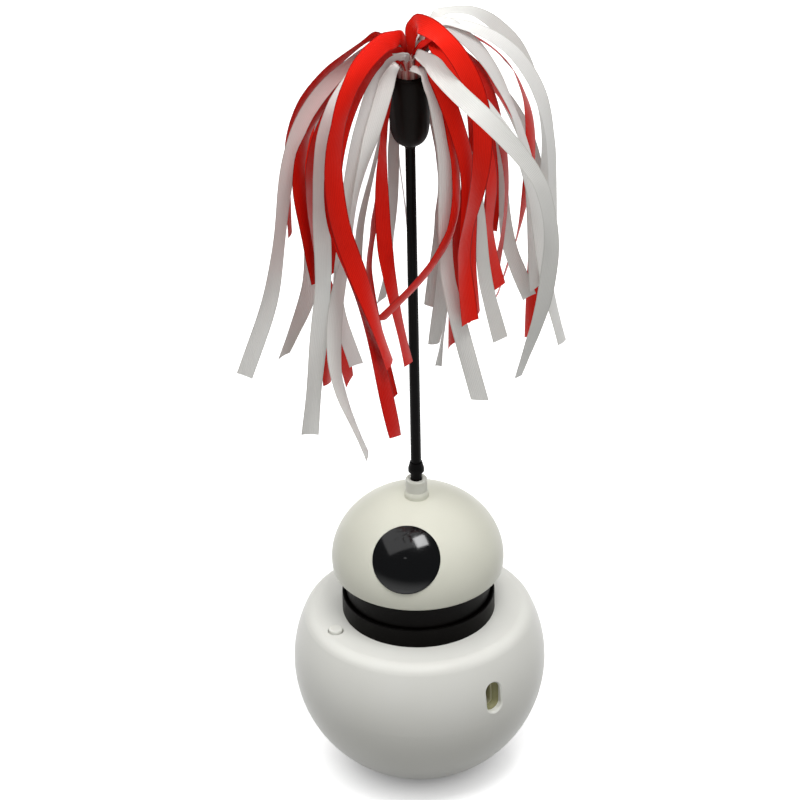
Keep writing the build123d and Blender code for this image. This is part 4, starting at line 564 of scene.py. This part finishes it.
# %% [markdown]
# ## Electronics
# Boards are glass-fibre laminate under a green lacquer, through which the copper lines show as a paler
# green. Chips, switches and brush holders are black epoxy with a fine even grain. The tongue in the port
# is an olive engineering plastic with short, dull flow marks. The cell has a heat-shrunk PVC wrap, glossy
# and slightly wrinkled.

# %% Electronics
board = finish("laminate_green_lacquer", "#1F5B38", 0.28, gloss=(Grain(2, 3), 0.22, 0.36), IOR=1.55)
# Copper lines 0.3 mm wide are drawn at about 1 mm as blocks of a brick pattern.
tree = board.node_tree
place = add(tree, "ShaderNodeTexCoord").outputs["Object"]
blocks = add(tree, "ShaderNodeTexBrick", {"Scale": 1 / (4 * MM), "Mortar Size": 0.06, "Color1": (0, 0, 0, 1),
                                          "Color2": (0.25, 0.25, 0.25, 1), "Mortar": (1, 1, 1, 1)},
             {"Vector": place})
lacquer = add(tree, "ShaderNodeMix", {6: linear("#1A5232"), 7: linear("#3A8656")},
              {0: blocks.outputs["Color"]}, data_type="RGBA")
tree.links.new(lacquer.outputs[2], tree.nodes["Principled BSDF"].inputs["Base Color"])
wear(board, "circuit_board", "switch_board", "laser_board")

epoxy = finish("epoxy_moulded_black", "#1C1C1D", 0.5, mottle=(Grain(1.5, 3), "#171718", "#242425"),
               relief=(Grain(0.3, 3), 0.008), IOR=1.55)
wear(epoxy, "board_chips", "tact_switch", "switch_plunger", "brush_block", "motor_endcap")

tongue = finish("liquid_crystal_polymer_moulded_olive", "#C9C59E", 0.5,
                mottle=(Grain(1.2, 3), "#C0BC94", "#D2CEA8"), relief=(Grain(0.4, 3), 0.01), IOR=1.65)
wear(tongue, "port_tongue")

cell_wrap = finish("pvc_shrunk_wrap_blue", "#2B5A8C", 0.26, mottle=(Grain(8, 3), "#264F7C", "#33669B"),
                   relief=(Grain(2.5), 0.05), IOR=1.53)
wear(cell_wrap, "battery_cell")
print("electronics:", board.name, epoxy.name, tongue.name, cell_wrap.name)

# %% [markdown]
# ## Cradle, bracket and gears
# The cradle and the laser's bracket are black nylon, satin with a faint flow pattern. The gears and their
# plate are natural acetal: a waxy off-white, a little see-through at the teeth.

# %% Cradle, bracket and gears
nylon = finish("nylon_moulded_black", "#232322", 0.45, mottle=(Grain(6, 3), "#1D1D1C", "#2B2B29"),
               gloss=(Grain(2, 3), 0.38, 0.54), IOR=1.53)
wear(nylon, "battery_cradle", "laser_bracket")

acetal = finish("acetal_moulded_natural", "#EDEBE2", 0.34, mottle=(Grain(5), "#E7E4D9", "#F0EEE7"),
                gloss=(Grain(1.5, 3), 0.28, 0.42), IOR=1.48, Subsurface_Weight=0.15,
                Subsurface_Scale=1.5 * MM)
wear(acetal, "output_gear", "idler_gear", "gear_plate")
print("acetal and nylon:", nylon.name, acetal.name)

# %% [markdown]
# ## Finding the strips
# The tassel is about forty strips of narrow satin ribbon in two colours. The CAD model has each of them as a
# plain thin strip that hangs in its place. Those are the pattern for the satin ones, so that nothing is typed
# in twice and the satin stays where the solids are. A node holds all strips of one colour, so its mesh is
# parted into pieces that hang together by edges. They are sorted by their tips, lowest first.

# %% Finding the strips
SAME_CORNER = 0.001 * MM


def loose_strips(node):
    """Corner points of a CAD node's mesh, the neighbours of each corner, and the corners of each strip."""
    work = bmesh.new()
    work.from_mesh(nodes[node].data)
    bmesh.ops.remove_doubles(work, verts=work.verts[:], dist=SAME_CORNER)
    work.verts.index_update()
    points = [vert.co.copy() for vert in work.verts]
    neighbours = [[edge.other_vert(vert).index for edge in vert.link_edges] for vert in work.verts]
    work.free()
    strips, seen = [], set()
    for start in range(len(points)):
        if start in seen:
            continue
        seen.add(start)
        strip = [start]
        for corner in strip:
            fresh = [other for other in neighbours[corner] if other not in seen]
            strip += dict.fromkeys(fresh)
            seen.update(fresh)
        strips.append(strip)
    strips.sort(key=lambda strip: min(points[corner].z for corner in strip))
    return points, neighbours, strips


for node in ("red_ribbons", "white_ribbons"):
    print(node, len(loose_strips(node)[2]), "strips")

# %% [markdown]
# ## Cutting a strip across
# A strip's middle line and the direction of its width can be read off its mesh. First every corner gets its
# distance from the clasp end, counted along the mesh's edges. Then the mesh can be cut across at any
# distance. The two outermost points of a cut are the strip's edges there.

# %% Cutting a strip across
def runs_from(start, points, neighbours):
    """Shortest way along edges from one corner to each corner that it hangs together with."""
    runs = {}
    waiting = [(0.0, start)]
    while waiting:
        run, corner = heapq.heappop(waiting)
        if corner in runs:
            continue
        runs[corner] = run
        for other in neighbours[corner]:
            if other not in runs:
                heapq.heappush(waiting, (run + (points[other] - points[corner]).length, other))
    return runs


def cut_across(level, runs, points, neighbours):
    """The two outermost points where the strip has one distance from its clasp end."""
    spots = []
    for corner, run in runs.items():
        for other in neighbours[corner]:
            if run < level <= runs[other]:
                spots.append(points[corner].lerp(points[other], (level - run) / (runs[other] - run)))
    return max(((a, b) for a in spots for b in spots), key=lambda ends: (ends[0] - ends[1]).length)


points, neighbours, strips = loose_strips("white_ribbons")
lowest_tip = min(strips[0], key=lambda corner: points[corner].z)
longest_run = max(runs_from(lowest_tip, points, neighbours).values())
print("the lowest white strip is", round(longest_run / MM), "mm long, counted along its edges")

# %% [markdown]
# ## Measuring a strip
# The cuts are close together in the tight bend at the clasp and further apart below. Near the tip a cut can
# run out at a corner, so the last one is made a little before it, and the line goes on straight from there.

# %% Measuring a strip
CLASP_STEP = 2.5 * MM
FIRST_STEP_SHARE = 0.2
TIGHT_BEND = 20 * MM
HANGING_STEP = 7 * MM
TIP_MARGIN = 3 * MM
# A cut that is narrower than this can't tell the direction of the width.
NARROW = 1.6 * MM
# A cut of at least this share of the full width counts as a whole one.
WHOLE_SHARE = 0.85
AVERAGING_ROUNDS = 2


def measure_strip(points, neighbours, strip):
    """Middle points from clasp to tip, directions of the width there, and the strip's full width in mm."""
    tip = min(strip, key=lambda corner: points[corner].z)
    from_tip = runs_from(tip, points, neighbours)
    runs = runs_from(max(from_tip, key=from_tip.get), points, neighbours)
    bend_cuts = round(TIGHT_BEND / CLASP_STEP)
    levels = [CLASP_STEP * (i + FIRST_STEP_SHARE) for i in range(bend_cuts)]
    hanging = runs[tip] - TIP_MARGIN - levels[-1]
    gaps = round(hanging / HANGING_STEP)
    levels += [levels[-1] + hanging * (i + 1) / gaps for i in range(gaps)]
    cuts = [cut_across(level, runs, points, neighbours) for level in levels]
    spans = [(b - a).length for a, b in cuts]
    # Most cuts are whole, so the one two thirds up in order of width has the full width.
    full_width = sorted(spans)[len(spans) * 2 // 3]
    while spans[len(cuts) - 1] < WHOLE_SHARE * full_width:
        cuts.pop()
    middles = [(a + b) / 2 for a, b in cuts]
    # The solid hangs in straight runs; averaging makes them one line.
    for _ in range(AVERAGING_ROUNDS):
        before, at, after = middles[bend_cuts - 1:], middles[bend_cuts:], middles[bend_cuts + 1:]
        middles[bend_cuts:-1] = [(a + b * 2 + c) / 4 for a, b, c in zip(before, at, after)]
    end_way = (middles[-1] - middles[-2]).normalized()
    middles.append(middles[-1] + end_way * (runs[tip] - levels[len(cuts) - 1]))
    # The directions are found from the tip up, so that the narrow cuts at the clasp follow the wide ones.
    wides = []
    for i in reversed(range(len(cuts))):
        ahead = (middles[i + 1] - middles[max(i - 1, 0)]).normalized()
        wide = cuts[i][1] - cuts[i][0]
        if wides and spans[i] < NARROW:
            wide = wides[-1]
        wide = wide - ahead * wide.dot(ahead)
        if wides and wide.dot(wides[-1]) < 0:
            wide = -wide
        wides.append(wide.normalized())
    return middles, [*wides[::-1], wides[0]], full_width / MM


middles, _, full_width = measure_strip(points, neighbours, strips[0])
print("the lowest white strip is", round(full_width, 1), "mm wide, measured at", len(middles), "places")

# %% [markdown]
# ## Satin
# Satin is woven with long floats that lie along the ribbon, so it shines in streaks: bright where the
# ribbon bends over, dark where it turns away. The shader's highlight is therefore stretched across the
# threads, with the ribbon's own direction as tangent. Each strip has its own tone, because dye and light
# differ from strip to strip, fine lines along it stand for the threads, and the woven edge is darker. The
# shine of dyed thread takes the dye's colour, so the red one has a red tint. The map of a strip is in
# millimetres, across and along.

# %% Satin
# A wave texture of scale 1 repeats after this length.
WAVE_LENGTH = 0.314
# Threads are about 0.12 mm apart; the lines are drawn 0.6 mm apart so that they show.
DRAWN_THREAD = 0.6
DYE_PATCH = 14
STRIP_SHARE, PATCH_SHARE, THREAD_SHARE = 0.6, 0.3, 0.2


def satin(name, colour, dark, light, edge_colour, shine):
    """Woven satin: a tone for each strip, fine lines along it, and a darker woven edge."""
    material = finish(name, colour, 0.4, IOR=1.5, Anisotropic=0.45, Specular_Tint=linear(shine))
    tree = material.node_tree
    weave = add(tree, "ShaderNodeUVMap", uv_map="weave").outputs[0]
    strip = add(tree, "ShaderNodeAttribute", attribute_name="tone").outputs["Fac"]
    edge = add(tree, "ShaderNodeAttribute", attribute_name="edge").outputs["Fac"]
    threads = add(tree, "ShaderNodeTexWave",
                  {"Scale": WAVE_LENGTH / DRAWN_THREAD, "Distortion": 1.2, "Detail": 2},
                  {"Vector": weave}).outputs["Fac"]
    patch = add(tree, "ShaderNodeTexNoise", {"Scale": 1 / DYE_PATCH, "Detail": 3},
                {"Vector": weave}).outputs[0]
    tint = add(tree, "ShaderNodeMath", {1: THREAD_SHARE}, {0: threads}, operation="MULTIPLY").outputs[0]
    for pattern, share in ((patch, PATCH_SHARE), (strip, STRIP_SHARE)):
        tint = add(tree, "ShaderNodeMath", {1: share}, {0: pattern, 2: tint},
                   operation="MULTIPLY_ADD").outputs[0]
    middle = add(tree, "ShaderNodeMix", {6: linear(dark), 7: linear(light)}, {0: tint}, data_type="RGBA")
    rim = add(tree, "ShaderNodeMix", {7: linear(edge_colour)}, {0: edge, 6: middle.outputs[2]},
              data_type="RGBA")
    gloss = add(tree, "ShaderNodeMapRange", {"To Min": 0.32, "To Max": 0.5}, {"Value": patch})
    ribs = add(tree, "ShaderNodeBump", {"Strength": 1, "Distance": 0.04 * MM}, {"Height": threads})
    along = add(tree, "ShaderNodeTangent", direction_type="UV_MAP", uv_map="weave")
    shader = tree.nodes["Principled BSDF"]
    for source, socket in ((rim.outputs[2], "Base Color"), (gloss.outputs[0], "Roughness"),
                           (ribs.outputs[0], "Normal"), (along.outputs[0], "Tangent")):
        tree.links.new(source, shader.inputs[socket])
    return material


red_satin = satin("polyester_satin_red", "#D81A10", "#B40B08", "#F5281A", "#860A0E", "#FF4632")
white_satin = satin("polyester_satin_white", "#E8E7E2", "#DCDBD6", "#F6F5F2", "#C8C6C0", "#FFFFFF")
print("satins:", red_satin.name, white_satin.name)

# %% [markdown]
# ## Smooth lines through uneven points
# A ribbon leaves the clasp in a tight bend and then hangs in long curves, so its points stand close
# together at first and far apart later. A plain spline through such points swings out at the short gaps.
# Here the curve's own clock runs with the root of each gap, which keeps the bends tame. The same clock
# carries the direction of the ribbon's width.

# %% Smooth lines
STEPS_PER_GAP = 3


def root_clock(points):
    """Times along a row of points: each gap takes the square root of its length."""
    times = [0.0]
    for start, end in zip(points, points[1:]):
        times.append(times[-1] + (end - start).length ** 0.5)
    return times


def smooth_run(values, times):
    """Vectors on a smooth curve that passes each value at its time."""
    values = [values[0] * 2 - values[1], *values, values[-1] * 2 - values[-2]]
    times = [times[0] * 2 - times[1], *times, times[-1] * 2 - times[-2]]
    run = []
    for i in range(1, len(values) - 2):
        v0, v1, v2, v3 = values[i - 1:i + 3]
        t0, t1, t2, t3 = times[i - 1:i + 3]
        for step in range(STEPS_PER_GAP):
            t = t1 + (t2 - t1) * step / STEPS_PER_GAP
            a = v0 + (v1 - v0) * ((t - t0) / (t1 - t0))
            b = v1 + (v2 - v1) * ((t - t1) / (t2 - t1))
            c = v2 + (v3 - v2) * ((t - t2) / (t3 - t2))
            ab = a + (b - a) * ((t - t0) / (t2 - t0))
            bc = b + (c - b) * ((t - t1) / (t3 - t1))
            run.append(ab + (bc - ab) * ((t - t1) / (t2 - t1)))
    return [*run, values[-2]]


print("smooth line of that strip:", len(smooth_run(middles, root_clock(middles))), "points")

# %% [markdown]
# ## One ribbon
# A cloth simulation would drop the strips anywhere; here each one is swept along the line of its solid, so
# that the bunches part to the left and right as they do in the picture. Near the clasp a strip is gathered in
# pleats, further on it opens to its full width with a slight curl and a slow ripple, and its end is cut at a
# slant. Chance picks the tone, slant, curl and ripple of each strip.

# %% One ribbon
# Places across the width, as shares of half of it, and the way that the pleats fold there
COLUMNS = (-1, -0.86, -0.45, 0, 0.45, 0.86, 1)
PLEAT_SIGNS = (1, -1, 1, -1, 1, -1, 1)
# Millimetres: width in the clasp, depth of pleats, and the most that an end slants or a strip curls
GATHERED_WIDTH = 1.5
PLEAT_DEPTH = 0.35
MOST_SLANT = 1.2
MOST_CURL = 0.8
# Width gained for each millimetre of run, and run for each radian of the ripple
OPENING_RATE = 0.34
RIPPLE_RUN = 14
# Degrees that a strip ripples to each side; one that hangs edge-on to the camera hardly does, and stays so.
LEAST_RIPPLE, MOST_RIPPLE = 10, 34
EDGE_ON = 0.75
EDGE_ON_SHARE = 0.3
# The slant grows over the last sixth of a strip.
SLANT_PARTS = 6


def hang_strip(mesh, layers, measured, extra_turn, chance):
    """Add one ribbon to a bmesh; gives its width and length."""
    stations, wides, width = measured
    weave, tone_layer, edge_layer = layers
    times = root_clock(stations)
    line = smooth_run(stations, times)
    edge_on = abs(wides[len(wides) // 2].dot(towards_camera)) > EDGE_ON
    wides = smooth_run(wides, times)
    tone = chance.random()
    slant = chance.uniform(-MOST_SLANT, MOST_SLANT)
    curl = chance.uniform(-MOST_CURL, MOST_CURL)
    ripple = math.radians(chance.uniform(LEAST_RIPPLE, MOST_RIPPLE)) * (EDGE_ON_SHARE if edge_on else 1)
    phase = chance.uniform(*STARTS)
    half_way, at_tip = extra_turn
    run = 0.0
    rings = []
    for i, middle in enumerate(line):
        back, front = line[max(i - 1, 0)], line[min(i + 1, len(line) - 1)]
        ahead = (front - back).normalized()
        run += (middle - back).length / MM
        wide = (wides[i] - ahead * wides[i].dot(ahead)).normalized()
        opened = min(width, GATHERED_WIDTH + OPENING_RATE * run)
        gather = 1 - opened / width
        share = i / (len(line) - 1)
        extra = half_way * min(1, share * 2) + (at_tip - half_way) * max(0, share * 2 - 1)
        sway = ripple * (1 - gather) * math.sin(phase + run / RIPPLE_RUN) - math.radians(extra)
        wide = Quaternion(ahead, sway) @ wide
        face = ahead.cross(wide)
        slanted = slant * max(0, share * SLANT_PARTS - (SLANT_PARTS - 1))
        ring = []
        for side, sign in zip(COLUMNS, PLEAT_SIGNS):
            lift = curl * (1 - side * side) * (1 - gather) + PLEAT_DEPTH * sign * gather
            spot = middle + (wide * opened / 2 * side + face * lift + ahead * slanted * side) * MM
            vert = mesh.verts.new(spot)
            vert[tone_layer] = tone
            vert[edge_layer] = 1.0 if abs(side) == 1 else 0.0
            ring.append((vert, (width * (side + 1) / 2, run)))
        rings.append(ring)
    for low, high in zip(rings, rings[1:]):
        for j in range(len(COLUMNS) - 1):
            corners = (low[j], low[j + 1], high[j + 1], high[j])
            quad = mesh.faces.new([vert for vert, _ in corners])
            quad.smooth = True
            for loop, (_, spot) in zip(quad.loops, corners):
                loop[weave].uv = spot
    return width * MM, run * MM


print("a ribbon has", len(COLUMNS) - 1, "faces across")

# %% [markdown]
# ## Hanging the ribbons
# All strips of one colour are one piece, as they are one node of the CAD model. A few strips are turned
# further than their solids, because the picture shows them so. They are named by their rank from the lowest
# tip, with the extra turn half way and at the tip in degrees.

# %% Hanging the ribbons
red_extra_turns = {1: (5, 35), 3: (15, 15), 7: (20, 0), 9: (0, 25), 17: (10, 10)}
white_extra_turns = {5: (0, -15), 7: (5, 35)}


def hang_ribbons(name, extra_turns, material, node, seed):
    """All strips of one colour as one piece that stands for the CAD node and rides on the wand."""
    chance = random.Random(seed)
    mesh = bmesh.new()
    layers = (mesh.loops.layers.uv.new("weave"), mesh.verts.layers.float.new("tone"),
              mesh.verts.layers.float.new("edge"))
    points, neighbours, strips = loose_strips(node)
    for rank, strip in enumerate(strips):
        measured = measure_strip(points, neighbours, strip)
        hang_strip(mesh, layers, measured, extra_turns.get(rank, (0, 0)), chance)
    piece = set_up(name, mesh, material)
    wear(material, node)
    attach(piece, "wand")
    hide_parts(node)


hang_ribbons("red_satin_strips", red_extra_turns, red_satin, "red_ribbons", seed=1071)
hang_ribbons("white_satin_strips", white_extra_turns, white_satin, "white_ribbons", seed=8)

# %% [markdown]
# ## Gathered ends
# Above the clasp the ribbon ends are bunched: a pleated tuft, red and white side by side, that closes
# over at the top, where the strips spring out of it. It is made as a ring of folds whose radius swings in
# and out, level by level, up to a nearly closed crown. Each pleat leans a little more with every level.

# %% Gathered ends
PLEATS = 20
POINTS_PER_PLEAT = 6
AROUND_TUFT = PLEATS * POINTS_PER_PLEAT
# Radians that a pleat leans at most, at this rise in millimetres
MOST_LEAN = 0.15
LEAN_RISE = 20
# Rise over the clasp, radius and depth of the folds, in millimetres
tuft_levels = ((-1.5, 4.3, 0.15), (0, 4.3, 0.2), (1.5, 4.2, 0.3), (3, 4.2, 0.35), (4.5, 4.1, 0.35),
               (6, 3.7, 0.3), (7.2, 2.9, 0.25), (8.1, 1.6, 0.15), (8.5, 0.3, 0.0))
chance = random.Random(5)
lean = [chance.uniform(-MOST_LEAN, MOST_LEAN) for _ in range(PLEATS)]
bunch = bmesh.new()
tuft_weave = bunch.loops.layers.uv.new("weave")
rings = []
for rise, radius, depth in tuft_levels:
    ring = []
    for i in range(AROUND_TUFT):
        angle = 2 * math.pi * i / AROUND_TUFT + lean[i // POINTS_PER_PLEAT] * rise / LEAN_RISE
        reach_out = radius + depth * math.sin(2 * math.pi * i / POINTS_PER_PLEAT)
        ring.append(bunch.verts.new((reach_out * MM * math.cos(angle), reach_out * MM * math.sin(angle),
                                     (clasp_top + rise) * MM)))
    rings.append(ring)
for count, quad in enumerate(skin(bunch, rings)):
    level, i = divmod(count, AROUND_TUFT)
    low, high = tuft_levels[level][0], tuft_levels[level + 1][0]
    for loop, spot in zip(quad.loops, ((i, low), (i + 1, low), (i + 1, high), (i, high))):
        loop[tuft_weave].uv = spot
print("gathered ends:", PLEATS, "pleats,", len(bunch.faces), "faces")

# %% [markdown]
# ## Finish of the gathered ends
# The tuft is the same satin as the strips, seen end on and crushed, with the shine mostly gone: dull red and
# greyed white in turn. Both are painted darker than the strips' colours, a painted shade of the tuft under
# the strips. A wave that runs round the tuft gives the turns, and its wander mixes them a little.

# %% Finish of the gathered ends
mixed_satin = finish("polyester_satin_gathered", "#B8544A", 0.45, relief=(Grain(0.6, 3), 0.05), IOR=1.5,
                     Sheen_Weight=0.1, Sheen_Roughness=0.4)
tree = mixed_satin.node_tree
weave = add(tree, "ShaderNodeUVMap", uv_map="weave").outputs[0]
# The map counts points round the tuft. Red and white take turns, a pleat each.
turns = add(tree, "ShaderNodeTexWave",
            {"Scale": WAVE_LENGTH / (2 * POINTS_PER_PLEAT), "Distortion": 2, "Detail": 2},
            {"Vector": weave}).outputs["Fac"]
# The two colours are darker and greyer than the strips': painted shade of the tuft under the strips.
dyes_and_painted_shade = add(tree, "ShaderNodeMix", {6: linear("#A0453E"), 7: linear("#C4A199")}, {0: turns}, data_type="RGBA")
gloss = add(tree, "ShaderNodeMapRange", {"To Min": 0.38, "To Max": 0.52}, {"Value": turns})
shader = tree.nodes["Principled BSDF"]
tree.links.new(dyes_and_painted_shade.outputs[2], shader.inputs["Base Color"])
tree.links.new(gloss.outputs[0], shader.inputs["Roughness"])

tuft = set_up("gathered_ends", bunch, mixed_satin)
wear(mixed_satin, "ribbon_root")
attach(tuft, "wand")
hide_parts("ribbon_root")
